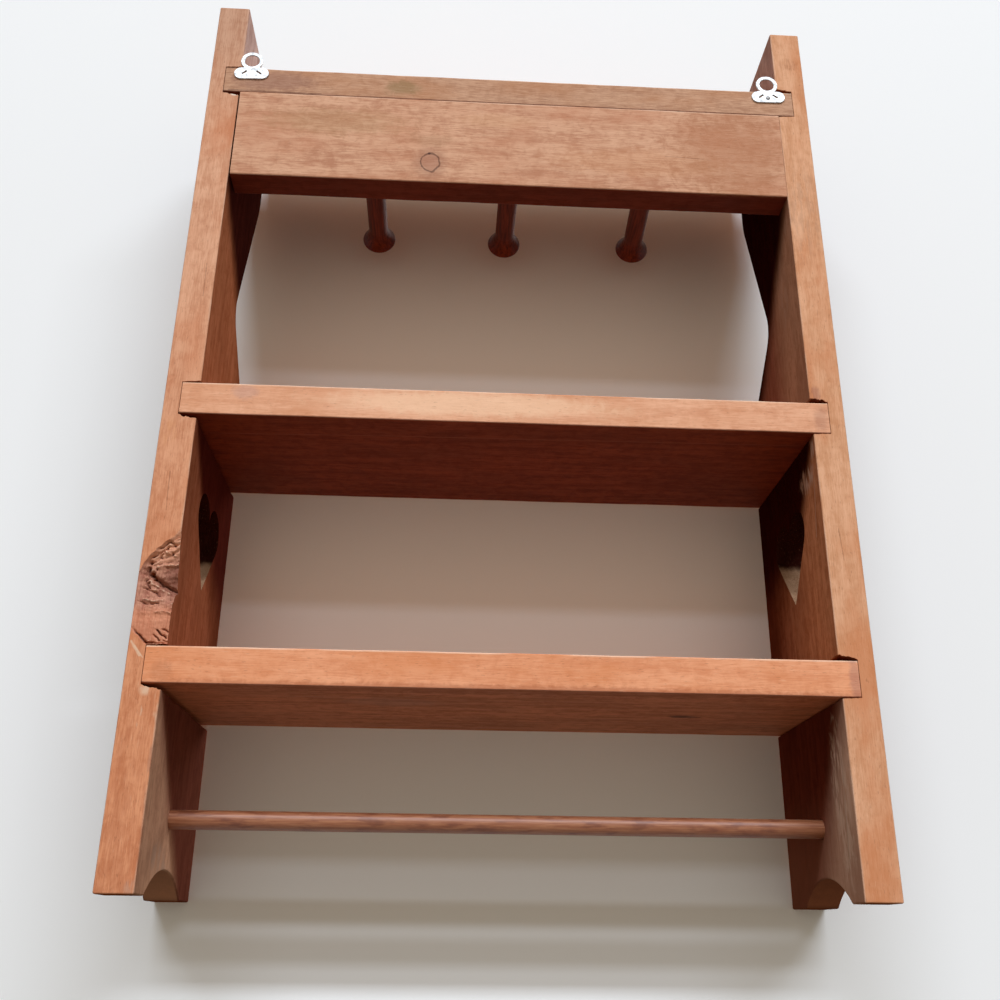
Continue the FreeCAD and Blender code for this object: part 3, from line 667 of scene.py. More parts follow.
# %% Stained pine
class Pine(Finish):
    """Pine under a brown stain, with its grain along one axis."""

    def __init__(self, name, along, seed, lively=0.5, sheen=0.15):
        super().__init__(name, Roughness=0.5, Specular_IOR_Level=sheen)
        self.along, self.shift = along, (seed * 0.37, seed * 0.19, seed * 0.53)
        fibres, bands = self.streaks(1500, 0.07), self.streaks(210, 0.1, 2, 0.5)
        self.tone = self.streaks(34, 0.5)
        self.blotch = self.cloud(self.stretched((1, 1, 1), self.shift), 150, 3, 0.65, 0.6)
        grain = self.sum("ADD", self.sum("MULTIPLY", fibres, lively),
                         self.sum("MULTIPLY", bands, 0.7 - lively))
        self.grain = self.step(self.sum("ADD", grain, self.sum("MULTIPLY", self.blotch, 0.3)), 0.37, 0.63)
        self.x, self.y, self.z = self.node("ShaderNodeSeparateXYZ", {0: self.place}).outputs

    def streaks(self, scale, squeeze, detail=3, rough=0.6, shift=0.0):
        """A cloudy number that is stretched along the grain."""
        squeeze = (squeeze, 1, 1) if self.along == "x" else (1, 1, squeeze)
        place = self.stretched(squeeze, tuple(v + shift for v in self.shift))
        return self.cloud(place, scale, detail, rough)

    def flecks(self, scale, squeeze, low, high, much, shift=0.0):
        """Short marks along the grain."""
        return self.step(self.streaks(scale, squeeze, 2, 0.5, shift), low, high, 0, much)

    def past(self, value, low, high, *to):
        """A soft step on a length, with its limits in millimetres."""
        return self.step(value, low * MM, high * MM, *to)

    def gap(self, value, place):
        """How far a number is from a place."""
        return self.sum("ABSOLUTE", self.sum("SUBTRACT", value, place))

    def frayed(self, value, fray, amount):
        """A number that a noise pushes up and down."""
        return self.sum("ADD", value, self.sum("MULTIPLY", self.sum("SUBTRACT", fray, 0.5), amount))

    def ragged(self, value, amount, scale=300):
        """A coordinate whose edges fray."""
        return self.frayed(value, self.streaks(scale, 0.3), amount * MM)

    def both(self, whole, *masks):
        """Where all masks hold."""
        for mask in masks:
            whole = self.sum("MULTIPLY", whole, mask)
        return whole

    def tinted(self, dark, light, drift=None, much=0.5):
        """The grain between two tones, drifting in patches towards a third."""
        drift = drift or tuple(round(a * 0.55 + b * 0.32) for a, b in zip(dark, light))
        colour = self.mix(self.grain, dark, light)
        colour = self.mix(self.step(self.tone, 0.4, 0.72, 0, much), colour, drift)
        return self.mix(self.step(self.blotch, 0.5, 0.75, 0, 0.2), colour, dark)

    def vector(self, operation, a, b, **inputs):
        """Arithmetic on places and directions."""
        made = self.node("ShaderNodeVectorMath", {0: a, 1: b, **inputs}, operation=operation)
        return made.outputs["Value" if operation in ("LENGTH", "DOT_PRODUCT") else "Vector"]

    def away(self, middle, sizes, fray):
        """Distance from a point, 1 on the given half sizes, with a frayed edge."""
        scale = [1 / (size * MM) for size in sizes]
        local = self.stretched(scale, [-m * MM * k for m, k in zip(middle, scale)])
        return self.frayed(self.vector("LENGTH", local, (0, 0, 0)), self.blotch, fray * 2)

    def spot(self, middle, sizes, much):
        """A soft patch."""
        return self.step(self.away(middle, sizes, 0.6), 1.15, 0.45, 0, much)

    def stroke(self, start, end, width, much):
        """A scratch between two points."""
        a, b = Vector(start) * MM, Vector(end) * MM
        local = self.vector("SUBTRACT", self.place, a)
        share = self.sum("DIVIDE", self.vector("DOT_PRODUCT", local, (b - a).normalized()), (b - a).length)
        share = self.sum("MINIMUM", self.sum("MAXIMUM", share, 0.0), 1.0)
        along = self.vector("SCALE", tuple(b - a), (0, 0, 0), Scale=share)
        off = self.vector("LENGTH", self.vector("SUBTRACT", local, along), (0, 0, 0))
        return self.past(self.frayed(off, self.blotch, 0.8 * width * 2 * MM), width, width * 0.35, 0, much)

    def marked(self, colour, spots, strokes, patchy=False):
        """The colour with patches and scratches laid over it."""
        for middle, sizes, much, tone in spots:
            mask = self.spot(middle, sizes, much)
            if patchy:
                mask = self.both(mask, self.flecks(420, 0.22, 0.4, 0.6, 1.0))
            colour = self.mix(mask, colour, tone)
        for start, end, width, much, tone in strokes:
            colour = self.mix(self.stroke(start, end, width, much), colour, tone)
        return colour

    def knot(self, colour, middle, radius):
        """A small knot: grey halo, pink heart, thin dark ring."""
        far = self.away(middle, (radius, radius, radius * 1.2), 0.28)
        colour = self.mix(self.step(far, 2.4, 1.0, 0, 0.45), colour, (160, 112, 88))
        colour = self.mix(self.step(far, 1.0, 0.85, 0, 0.4), colour, (180, 126, 102))
        return self.mix(self.step(self.gap(far, 1.0), 0.13, 0.04, 0, 0.7), colour, (84, 48, 34))

    def rear(self):
        """The rear faces and what has worn off beside them."""
        return self.past(self.ragged(self.y, 0.5), REAR - 0.9, REAR - 0.2)

    def finish(self, colour, pores=0.3, bump=0.22, rough=(0.72, 0.58), where=1.0):
        """Pores, sheen and relief over a colour; pale pores only where a mask holds."""
        dark = self.flecks(1900, 0.16, 0.62, 0.74, pores)
        pale = self.both(self.flecks(1500, 0.12, 0.62, 0.76, pores * 0.8, 3.1), where)
        colour = self.mix(dark, colour, (104, 56, 34))
        self.shade("Base Color", self.mix(pale, colour, (240, 200, 168)))
        self.shade("Roughness", self.step(self.grain, 0, 1, *rough))
        relief = self.sum("SUBTRACT", self.grain, dark)
        self.bump(self.sum("ADD", relief, self.sum("MULTIPLY", self.blotch, 1.5)), bump, 0.22)
        return self.material


# %% [markdown]
# ## Marks of use
# What makes the rack look its age is not the grain but what happened to it: knots, scratches
# under the shelves, dry white rubs on the sides, chips beside the saw cuts, and corners worn
# to bare wood. Each mark is one line in a list, with its place on the rack in millimetres. A few are painted
# highlights, and the shade in the bays is painted too.

# %% The sides' finish
RUBBED, BARE, DARK = (198, 164, 144), (232, 196, 166), (70, 34, 24)
# a mark: its middle, half sizes, strength and tone
SIDE_MARKS = {
    -1: [
        ((-171, 38, 226), (6, 13, 9), 0.9, RUBBED),
        ((-171, 51, 240), (6, 5, 7), 0.7, RUBBED),
        ((-171, 31, 352), (6, 10, 24), 0.5, (182, 142, 120)),
        ((-171, 50, 388), (6, 7, 14), 0.5, (182, 142, 120)),
        ((-171, 41, 46), (6, 13, 44), 0.65, (238, 206, 184)),
        ((-171, 52, 78), (4, 3, 5), 0.7, (206, 172, 146)),
        # a lilac painted highlight above the middle shelf's housing gap
        ((-174, REAR, 270), (5, 3, 8), 0.4, (150, 104, 96)),
        ((-180, REAR, 515), (9, 3, 6), 0.25, (150, 96, 70)),
        ((-180, REAR, 400), (12, 3, 40), 0.4, (196, 152, 124))],
    1: [
        ((178.5, REAR, 95), (3.2, 3, 3.4), 0.8, BARE),
        ((171.5, REAR, 91), (2.2, 4, 6.5), 0.7, BARE),
        ((172.5, REAR, 81), (1.6, 3, 3.2), 0.75, BARE),
        ((179.6, REAR, 84), (1.2, 2, 3.0), 0.7, BARE),
        ((179.7, REAR, 78), (1.0, 2, 2.4), 0.7, BARE),
        ((173, REAR, 3), (4, 5, 4), 0.5, RUBBED),
        ((171, 10, 12), (4, 14, 6), 0.5, RUBBED),
        ((171, 22, 18), (4, 16, 10), 0.6, RUBBED),
        ((184, REAR, 236), (5, 3, 10), 0.3, (214, 146, 96)),
        ((171.5, REAR, 60), (1.2, 2, 26), 0.4, (176, 140, 120)),
        ((174, REAR, 470.4), (2.6, 3, 1.8), 1.0, (240, 218, 200)),
        ((180, REAR, 34), (14, 3, 60), 0.3, (180, 108, 76))],
}
# a stroke: its start, end, width, strength and tone
SIDE_STROKES = {
    -1: [
        ((-171, 50, 222), (-171, 44, 190), 0.8, 0.5, RUBBED),
        ((-171, 46, 70), (-171, 42, 20), 0.9, 0.5, RUBBED),
        ((-171, 36, 66), (-171, 34, 38), 0.6, 0.45, RUBBED),
        ((-179, REAR, 190), (-180, REAR, 172), 0.3, 0.3, DARK)],
    1: [
        ((188.6, REAR, 119), (183.6, REAR, 112), 0.9, 0.7, BARE),
        ((186.5, REAR, 116.6), (182, REAR, 111), 0.5, 0.6, BARE),
        ((181, REAR, 212), (180.4, REAR, 190), 0.35, 0.3, DARK),
        ((176.5, REAR, 344), (176.2, REAR, 322), 0.3, 0.3, DARK)],
}
# painted shade in each bay of a side, from the foot up: where the bay ends; the slanting edges of its
# shade, each as (height at y = 0, slope, softness); the tones in the shade and outside it; and, where
# the rear part has tones of its own, those, and the y range in which the front ones, darker as painted shade,
# turn into them
BAY_PAINTED_SHADE = {
    -1: [(107.8, [(1, 1.6, 37)], ((94, 40, 28), (120, 54, 38)), ((226, 176, 148), (252, 210, 184))),
         (256.8, [(178, 1.2, 14), (188, 0.1, 20)], ((46, 12, 8), (60, 17, 12)),
          ((94, 42, 26), (118, 58, 40)), ((174, 110, 74), (214, 150, 110)), (-54, 44)),
         (481.9, [(343, 1.2, 20)], ((38, 10, 8), (52, 14, 12)),
          ((132, 76, 56), (158, 98, 78)), ((164, 116, 90), (196, 148, 120)), (-5, 30))],
    1: [(107.8, [(31, 1.13, 14)], ((120, 66, 54), (144, 84, 68)), ((194, 142, 114), (226, 176, 144))),
        (256.8, [(182, 1.16, 12), (184, 0.35, 22)], ((84, 34, 28), (104, 46, 38)),
         ((120, 66, 44), (142, 84, 60)), ((144, 84, 56), (176, 110, 80)), (-60, 0)),
        (481.9, [(361, 0.7, 14)], ((58, 24, 20), (76, 34, 28)), ((150, 88, 58), (182, 116, 82)))],
}


def inner_face(wood, sign):
    """The inside of a side, bay by bay: painted shade under each shelf and towards the front."""
    whole, floor = None, 0.0
    # each bay gets painted shade above its slanting lines, and darker painted shade towards the front
    for top, lines, dark, front, *rear_part in BAY_PAINTED_SHADE[sign]:
        behind, turn = rear_part or (front, (-10, 10))
        shade = []
        for at, slope, soft in lines:
            along = wood.sum("SUBTRACT", wood.ragged(wood.z, 8, 60), wood.sum("MULTIPLY", wood.y, slope))
            shade.append(wood.past(along, at - soft, at + soft))
        open_wood = wood.mix(wood.past(wood.y, *turn), wood.tinted(*front), wood.tinted(*behind))
        bay = wood.mix(wood.both(*shade), open_wood, wood.tinted(*dark))
        whole = bay if whole is None else wood.mix(wood.past(wood.z, floor - 1, floor + 1), whole, bay)
        floor = top
    # the ears above the top shelf: a paler, greyer mauve, a painted reflection as well as the shader's own
    # sheen
    ear = wood.tinted((150, 100, 80), (184, 130, 106))
    return wood.mix(wood.past(wood.z, floor - 1, floor + 1), whole, ear)


def side_finish(node, sign, seed, rear, drift):
    """A side: salmon rear edge, and an inner face with dark maroon painted shade under the shelves."""
    wood = Pine("stained_pine_" + node, "z", seed, 0.4, 0.0)
    out = wood.sum("MULTIPLY", wood.x, sign)
    within = wood.past(out, INNER + 1.4, INNER + 0.5)
    wood.shade("Specular IOR Level", wood.both(wood.past(wood.z, 488, 496, 0, 0.5), within))
    inner = inner_face(wood, sign)
    # painted light: the left side's inner face turns paler towards the foot
    if sign < 0:
        inner = wood.mix(wood.past(wood.ragged(wood.z, 12, 60), 66, 14, 0, 0.55), inner, (158, 102, 80))
    colour = wood.mix(within, wood.tinted((122, 58, 32), (160, 88, 52)), inner)
    # the sawn arch is paler; the right side's much paler tone is painted light
    arch = wood.both(
        wood.past(wood.z, 15, 13.8, 0, 0.6), wood.past(wood.gap(wood.y, ARCH_MIDDLE * MM), 37.6, 36),
        wood.past(out, OUTER - 0.4, OUTER - 1.2), wood.past(out, INNER + 0.4, INNER + 1.2))
    colour = wood.mix(arch, colour, (166, 110, 84) if sign < 0 else (214, 162, 132))
    edge = wood.tinted(*rear, drift=drift, much=0.7)
    if sign > 0:
        edge = wood.mix(wood.past(wood.z, 430, 60), edge, (0.95, 0.74, 0.60, 1.0), "MULTIPLY")
        edge = wood.mix(wood.past(wood.z, 440, 530), edge, (0.78, 0.8, 0.83, 1.0), "MULTIPLY")
    for x in (INNER, OUTER):
        wear = wood.past(wood.gap(wood.x, sign * x * MM), 0.9, 0.3)
        edge = wood.mix(wood.both(wear, wood.flecks(300, 0.15, 0.4, 0.6, 0.55, x)), edge, (238, 198, 170))
    rear_face = wood.rear()
    colour = wood.marked(wood.mix(rear_face, colour, edge), SIDE_MARKS[sign], SIDE_STROKES[sign], True)
    return wood.finish(colour, rough=(0.8, 0.66), where=rear_face)


# %% The shelves' finish
SHELF_MARKS = {
    "lower_shelf": [
        ((-178.5, REAR, 108), (3.5, 3, 15), 0.4, (156, 112, 108)),
        ((-102, -3.5, 98.3), (10, 4, 3), 0.75, DARK),
        ((60, 20, 98.3), (30, 12, 3), 0.25, (176, 130, 112)),
        ((172, REAR, 104), (6, 3, 7), 0.2, (150, 92, 64)),
        ((0, 56, 98.3), (260, 14, 3), 0.4, (150, 76, 44))],
    "middle_shelf": [
        ((146, REAR, 261), (9, 3, 5), 0.2, (150, 142, 156)),
        ((20, REAR, 258), (90, 3, 9), 0.6, (255, 212, 176)),
        ((-176, REAR, 256), (5, 3, 9), 0.3, (150, 104, 92))],
    "top_shelf": [
        ((69, REAR, 481), (14, 3, 7), 0.6, (146, 120, 82)),
        ((150, REAR, 482), (30, 3, 9), 0.55, (150, 108, 92)),
        ((-60, REAR, 480), (30, 3, 6), 0.3, (206, 160, 128))],
    "peg_rail": [
        ((110, REAR, 452), (50, 3, 12), 0.3, (178, 142, 100)),
        ((-80, REAR, 430), (60, 3, 12), 0.3, (206, 146, 104)),
        ((10, REAR, 458), (26, 3, 7), 0.3, (214, 164, 124)),
        ((-140, REAR, 440), (46, 3, 44), 0.45, (176, 118, 82)),
        ((50, REAR, 440), (16, 3, 6), 0.25, (158, 122, 88))],
}
SHELF_STROKES = {
    "lower_shelf": [
        ((120, 30, 98.3), (40, 34, 98.3), 0.35, 0.3, (206, 160, 140)),
        ((-20, 12, 98.3), (-66, 14, 98.3), 0.3, 0.3, (206, 160, 140))],
    "middle_shelf": [
        ((168.8, 31.8, 247.3), (66.8, 35.2, 247.3), 0.45, 0.5, (150, 90, 72)),
        ((66.8, 35.2, 247.3), (-168.8, 39.1, 247.3), 0.45, 0.5, (150, 90, 72))],
    "top_shelf": [
        ((178, REAR, 473.4), (120, REAR, 473.2), 0.4, 0.6, (80, 48, 34))],
    "peg_rail": [
        ((24, REAR, 446), (-12, REAR, 447), 0.3, 0.35, (232, 190, 156)),
        ((-96, REAR, 436), (-120, REAR, 435), 0.3, 0.35, DARK)],
}
# for each board: the two tones below (painted shade, darkest on the middle and top shelves and the rail), the
# two tones of the rear edge, its drift, and how lively
BOARD_TONES = {
    "lower_shelf": (((174, 94, 56), (220, 128, 84)),
        ((224, 146, 104), (246, 174, 132)), (222, 138, 88), 0.4),
    "middle_shelf": (((100, 32, 8), (138, 56, 18)),
        ((218, 154, 118), (242, 184, 148)), (212, 142, 100), 0.4),
    "top_shelf": (((90, 32, 14), (118, 46, 24)),
        ((172, 126, 98), (208, 162, 130)), (182, 124, 84), 0.55),
    "peg_rail": (((90, 32, 14), (118, 46, 24)),
        ((184, 128, 98), (222, 172, 138)), (196, 132, 98), 0.42),
}


def board_finish(node, seed, under, rear, drift, lively):
    """A shelf or the rail: its underside dark with painted shade, a paler top and front, and its pale rear
    edge.
    """
    low, high = SHELVES[node][:2] if node in SHELVES else (RAIL_LOW, RAIL_HIGH)
    wood = Pine("stained_pine_" + node, "x", seed, lively)
    # the underside in painted shade, the top and front paler
    colour = wood.mix(wood.past(wood.z, low + 0.3, low + 1.5), wood.tinted(*under),
                      wood.tinted((158, 84, 46), (196, 118, 72)))
    edge = wood.tinted(*rear, drift=drift, much=0.6)
    # the rear edge's top arris: pale wear and a painted highlight
    worn_and_highlit = wood.past(wood.ragged(wood.z, 0.5), high - 1.3, high - 0.5)
    edge = wood.mix(wood.both(worn_and_highlit, wood.flecks(240, 0.12, 0.35, 0.6, 0.7)), edge, (246, 212, 184))
    # painted sheen: the rear edge's lowest arris greyed to lilac
    edge = wood.mix(wood.past(wood.z, low + 0.9, low + 0.2, 0, 0.5), edge, (160, 116, 110))
    rear_face = wood.rear()
    colour = wood.mix(rear_face, colour, edge)
    if node == "peg_rail":
        colour = wood.knot(colour, (50, REAR, 423.5), 5.7)
        colour = wood.mix(wood.spot((50.8, REAR, 430.2), (1.2, 2, 1.0), 0.9), colour, DARK)
    return wood.finish(wood.marked(colour, SHELF_MARKS[node], SHELF_STROKES[node]), where=rear_face)


woods = {
    "left_side": side_finish("left_side", -1, 1, ((208, 150, 112), (234, 180, 144)), (206, 130, 86)),
    "right_side": side_finish("right_side", 1, 2, ((204, 146, 114), (234, 182, 150)), (204, 130, 92)),
}
for seed, (node, tones) in enumerate(BOARD_TONES.items(), start=3):
    woods[node] = board_finish(node, seed, *tones)


# %% Sawn and torn wood
def cut_finish():
    """The walls of a sawn heart: painted shade above, a pale lower flank as painted light."""
    wood = Pine("heart_wall_pine", "z", 11, 0.5, 0.0)
    lower = wood.sum("ADD", wood.ragged(wood.z, 7, 120), wood.past(wood.x, -10, 10, 0, 9 * MM))
    # painted light on the lower flank, painted shade on the walls above
    lit_lower_flank = wood.both(wood.past(lower, 197, 191), wood.past(wood.y, 14, 8))
    return wood.finish(wood.mix(lit_lower_flank, wood.tinted((42, 15, 11), (62, 26, 19)),
                                wood.tinted((150, 112, 86), (190, 154, 124))), 0.12, 0.4)


def torn_finish():
    """Torn pine: mauve painted shade in the hollows and deep down, painted highlights where splinters stand
    up, salmon at the bottom.
    """
    wood = Pine("torn_pine", "z", 12)
    proud = wood.node("ShaderNodeNewGeometry").outputs["Pointiness"]
    base = wood.mix(wood.past(wood.ragged(wood.z, 8, 90), 141, 132),
                    wood.tinted((156, 96, 78), (206, 148, 122)), wood.tinted((204, 128, 96), (228, 156, 122)))
    # paler towards the top; painted shade deep in the break and in the hollows, painted highlights on the
    # ridges
    for mask, tone in ((wood.past(wood.ragged(wood.z, 10, 120), 156, 166, 0, 0.85), (218, 156, 124)),
                       (wood.past(wood.y, REAR - 2.2, REAR - 5, 0, 0.45), (104, 60, 48)),
                       (wood.step(proud, 0.48, 0.43, 0, 0.75), (84, 46, 38)),
                       (wood.step(proud, 0.53, 0.58, 0, 0.75), (236, 200, 172))):
        base = wood.mix(mask, base, tone)
    return wood.finish(base, 0.3, 0.6)


heart_wall, torn = cut_finish(), torn_finish()
print("wood finishes:", [m.name for m in (*woods.values(), heart_wall, torn)])


# %% Turned wood, dowel, zinc and steel
def turned_finish():
    """Dark maroon varnish on a turned peg."""
    varnish = Finish("peg_varnish", Roughness=0.4, Specular_IOR_Level=0.15)
    streaks = varnish.cloud(varnish.stretched((1, 0.06, 1)), 900)
    varnish.shade("Base Color", varnish.mix(varnish.step(streaks, 0.3, 0.7), (74, 20, 9), (122, 46, 22)))
    varnish.bump(streaks, 0.15, 0.15)
    return varnish.material


def dowel_finish():
    """Thin stain on a birch dowel, mottled where it soaked in."""
    stain = Finish("dowel_stain", Roughness=0.42)
    streaks = stain.cloud(stain.stretched((0.05, 1, 1)), 1300)
    mottle = stain.cloud(stain.stretched((0.25, 1, 1)), 260)
    colour = stain.mix(stain.step(streaks, 0.3, 0.7), (142, 82, 52), (172, 114, 80))
    stain.shade("Base Color", stain.mix(stain.step(mottle, 0.5, 0.7, 0, 0.7), colour, (104, 50, 30)))
    stain.bump(streaks, 0.2, 0.15)
    return stain.material


def metal_finish(name, scale, tones, blend, dulling):
    """Metal whose colour and sheen change in patches."""
    metal = Finish(name, Metallic=1.0)
    dull = metal.cloud(metal.place, scale)
    metal.shade("Base Color", metal.mix(metal.step(dull, *blend), *tones))
    metal.shade("Roughness", metal.step(dull, *dulling))
    return metal.material


peg_varnish, dowel_stain = turned_finish(), dowel_finish()
zinc = metal_finish("zinc_plating", 420, ((194, 194, 192), (164, 165, 165)),
                    (0.35, 0.75), (0.3, 0.8, 0.5, 0.7))
steel = metal_finish("nail_steel_grey", 900, ((104, 102, 100), (84, 66, 56)),
                     (0.45, 0.75), (0.4, 0.8, 0.35, 0.7))

# %% Three pegs and the dowel
PEG_PROFILE = [(0.0, 4.6), (0.004, 4.72), (0.150, 4.74), (0.1513, 6.2), (0.155, 6.35), (0.60, 6.3),
               (0.802, 6.35), (0.84, 6.75), (0.88, 7.9), (0.915, 9.5), (0.936, 10.8), (0.942, 11.0),
               (0.948, 10.75), (0.965, 8.9), (0.98, 6.4), (0.992, 3.6), (0.9985, 1.2), (1.0, 0.02)]
DOWEL_PROFILE = [(0.0, 4.2), (0.0022, 4.92), (0.25, 4.96), (0.5, 4.9), (0.75, 4.97), (0.9978, 4.92),
                 (1.0, 4.2)]
PEG_FOOT, PEG_TIP, PEG_HEIGHT = 50.7, -35.2, 427.8
DOWEL_HALF = 179.5
pegs = {}
peg_tree = turning_tree("turned_peg", PEG_PROFILE, 11.0, 260, 40)
for node, x, lean in (("left_peg", -85.5, -3.2), ("middle_peg", 0.0, 0.3), ("right_peg", 85.5, 0.4)):
    foot, tip = Vector((x, PEG_FOOT, PEG_HEIGHT)), Vector((x + lean, PEG_TIP, PEG_HEIGHT))
    pegs[node] = grow(node + "_turned", peg_tree, Foot=foot * MM, Tip=tip * MM, Finish=peg_varnish)
dowel = grow("dowel_rod", turning_tree("turned_dowel", DOWEL_PROFILE, 5.0, 400, 36),
             Foot=Vector((-DOWEL_HALF, DOWEL_Y, DOWEL_Z)) * MM,
             Tip=Vector((DOWEL_HALF, DOWEL_Y, DOWEL_Z)) * MM, Finish=dowel_stain)
for piece in (*pegs.values(), dowel):
    finish_faces(piece, 60)
    print(piece.name, len(piece.data.polygons), "faces", [round(v * 1000, 1) for v in piece.dimensions])

# %% [markdown]
# ## Hangers and nails
# A hanger is stamped from sheet: a ring melted into a plate with two round ends, and two
# prongs bent out of slanted slots. Its outline is found by walking outwards from one point
# until the distance to ring and plate is nothing. A filled curve with a small bevel then gives
# the rounded rim that a press leaves. The nails are one small shape set on many points, which
# is what instances are for.

# %% Stamped hangers
RING_HEIGHT = 496.3
SLOT = ((-2.0, -0.3), (-1.8, -0.62), (1.8, -0.54), (2.0, -0.25),
        (2.0, 0.25), (1.8, 0.54), (-1.8, 0.62), (-2.0, 0.3))
SLOT_LEAN = math.radians(38)
PRONG_END = -6.45


def hanger_outline():
    """Ring and plate as one line, about the middle of the ring, in mm."""
    line = []
    for along, up in circle(1.0, 150):
        inside_at, outside_at = 0.0, 17.0
        for _ in range(26):
            r = (inside_at + outside_at) / 2
            x, z = r * along, -6.5 + r * up
            ring = math.hypot(x, z) - 6.9
            plate = math.hypot(max(abs(x) - 6.4, 0), z + 9.8) - 4.35
            h = min(max(0.5 + (plate - ring) / 1.6, 0), 1)
            off = plate + (ring - plate) * h - 0.8 * h * (1 - h)
            inside_at, outside_at = (r, outside_at) if off < 0 else (inside_at, r)
        line.append((x, z))
    return line


def slot_line(side):
    """A slanted slot, about the middle of the ring."""
    lean = Vector((math.cos(SLOT_LEAN), math.sin(SLOT_LEAN) * -side))
    across = Vector((-lean.y, lean.x))
    middle = Vector((side * 4.5, -9.3))
    return [middle + lean * a + across * b for a, b in SLOT]


def stamped_hanger(name, x, turn):
    """A hanger lying on the rear faces."""
    sheet = bpy.data.curves.new(name, "CURVE")
    sheet.dimensions, sheet.fill_mode = "2D", "BOTH"
    sheet.extrude, sheet.bevel_depth, sheet.offset = 0.32 * MM, 0.18 * MM, -0.18 * MM
    sheet.bevel_resolution = 2
    for line in (hanger_outline(), circle(4.7, 60), slot_line(-1), slot_line(1)):
        spline = sheet.splines.new("POLY")
        spline.points.add(len(line) - 1)
        for point, (a, b) in zip(spline.points, line):
            point.co = (a * MM, b * MM, 0, 1)
        spline.use_cyclic_u = True
    flat = add(name, sheet)
    graph = bpy.context.evaluated_depsgraph_get()
    mesh = bpy.data.meshes.new_from_object(flat.evaluated_get(graph))
    bpy.data.objects.remove(flat)
    work = bmesh.new()
    work.from_mesh(mesh)
    for side in (-1, 1):
        line = slot_line(side)
        low, high = Vector(line[2]), Vector(line[1])
        thick = (Vector(line[6]) - Vector(line[1])).normalized() * 0.4
        ends = [(low, -0.3), (high, -0.3),
                (high.lerp(low, 0.28), PRONG_END), (low.lerp(high, 0.28), PRONG_END)]
        corners = [work.verts.new(Vector((p.x + t.x, p.y + t.y, h)) * MM)
                   for t in (Vector((0, 0)), thick) for p, h in ends]
        for ring in ((0, 1, 2, 3), (7, 6, 5, 4), (0, 4, 5, 1), (1, 5, 6, 2), (2, 6, 7, 3), (3, 7, 4, 0)):
            work.faces.new([corners[i] for i in ring])
    bmesh.ops.remove_doubles(work, verts=work.verts, dist=1e-7)
    spin = Matrix.Rotation(math.radians(turn), 4, "Y")
    for v in work.verts:
        v.co = spin @ Vector((v.co.x, v.co.z, v.co.y))
        v.co += Vector((x, REAR + 0.5, RING_HEIGHT)) * MM
    bmesh.ops.recalc_face_normals(work, faces=work.faces)
    work.to_mesh(mesh)
    work.free()
    mesh.materials.clear()
    mesh.materials.append(zinc)
    return finish_faces(add(name, mesh), 50)


hangers = {"left_hanger": stamped_hanger("left_hanger_plate", -165, 1.5),
           "right_hanger": stamped_hanger("right_hanger_plate", 165, 2.5)}


# %% The tree that sets nails
def nail_tree():
    """Nails on the points of a mesh, each along the point's own aim."""
    tree = Maker("driven_nails", [
        ("Geometry", "Geometry", None), ("Shank", "Float", 0.8 * MM), ("Length", "Float", 38.0 * MM),
        ("Head", "Float", 1.3 * MM), ("Dome", "Float", 0.4 * MM)])
    shank, length, head, dome = (tree.given[label] for label in ("Shank", "Length", "Head", "Dome"))
    down = tree.sum("MULTIPLY", dome, -1.0)
    half_head = tree.sum("MULTIPLY", head, 0.5)

    def lifted(geometry, z, **inputs):
        shift = tree.node("ShaderNodeCombineXYZ", {2: z}).outputs[0]
        return tree.make("Transform", {"Geometry": geometry, "Translation": shift, **inputs})

    squash = tree.node("ShaderNodeCombineXYZ", {0: 1.0, 1: 1.0, 2: tree.sum("DIVIDE", dome, head)})
    parts = [
        lifted(tree.make("MeshUVSphere", {"Segments": 18, "Rings": 10, "Radius": head}),
               down, Scale=squash.outputs[0]),
        lifted(tree.make("MeshCone", {"Vertices": 18, "Radius Top": head, "Radius Bottom": shank,
                                      "Depth": half_head}), tree.sum("SUBTRACT", down, half_head)),
        lifted(tree.make("MeshCylinder", {"Vertices": 14, "Radius": shank, "Depth": length}),
               tree.sum("SUBTRACT", down, tree.sum("MULTIPLY", length, 0.5)))]
    whole = tree.node("GeometryNodeJoinGeometry")
    for part in parts:
        tree.put(whole.inputs[0], part)
    aim = tree.node("GeometryNodeInputNamedAttribute", {"Name": "aim"}, data_type="FLOAT_VECTOR")
    turned = tree.node("FunctionNodeAlignRotationToVector", {"Vector": aim.outputs[0]}, axis="Z")
    return tree.give(tree.make("InstanceOnPoints", {
        "Points": tree.given["Geometry"], "Instance": whole.outputs[0], "Rotation": turned.outputs[0]}))


def set_nails(node, places, **sizes):
    """Nails at places, each with the direction that its head faces."""
    name = node + "_driven"
    mesh = bpy.data.meshes.new(name)
    mesh.from_pydata([Vector(p) * MM for p, _ in places], [], [])
    aims = mesh.attributes.new("aim", "FLOAT_VECTOR", "POINT")
    for item, (_, aim) in zip(aims.data, places):
        item.vector = aim
    return grow(name, nailing, mesh, Finish=steel, **{label: size * MM for label, size in sizes.items()})


nailing = nail_tree()
nails = {}
for node, row in NAILS.items():
    heads = [((sign * 189.7, y, z), (sign, 0, 0)) for sign in (-1, 1) for y, z in row]
    nails[node] = set_nails(node, heads)
nails["hanger_nail"] = set_nails("hanger_nail", [((-165.0, 58.25, 485.4), (0, 1, 0))],
                                 Shank=0.6, Length=11.4, Head=1.4, Dome=0.35)
for piece in (*nails.values(), *hangers.values()):
    print(piece.name, len(piece.data.polygons), "faces", [round(v * 1000, 2) for v in piece.dimensions])


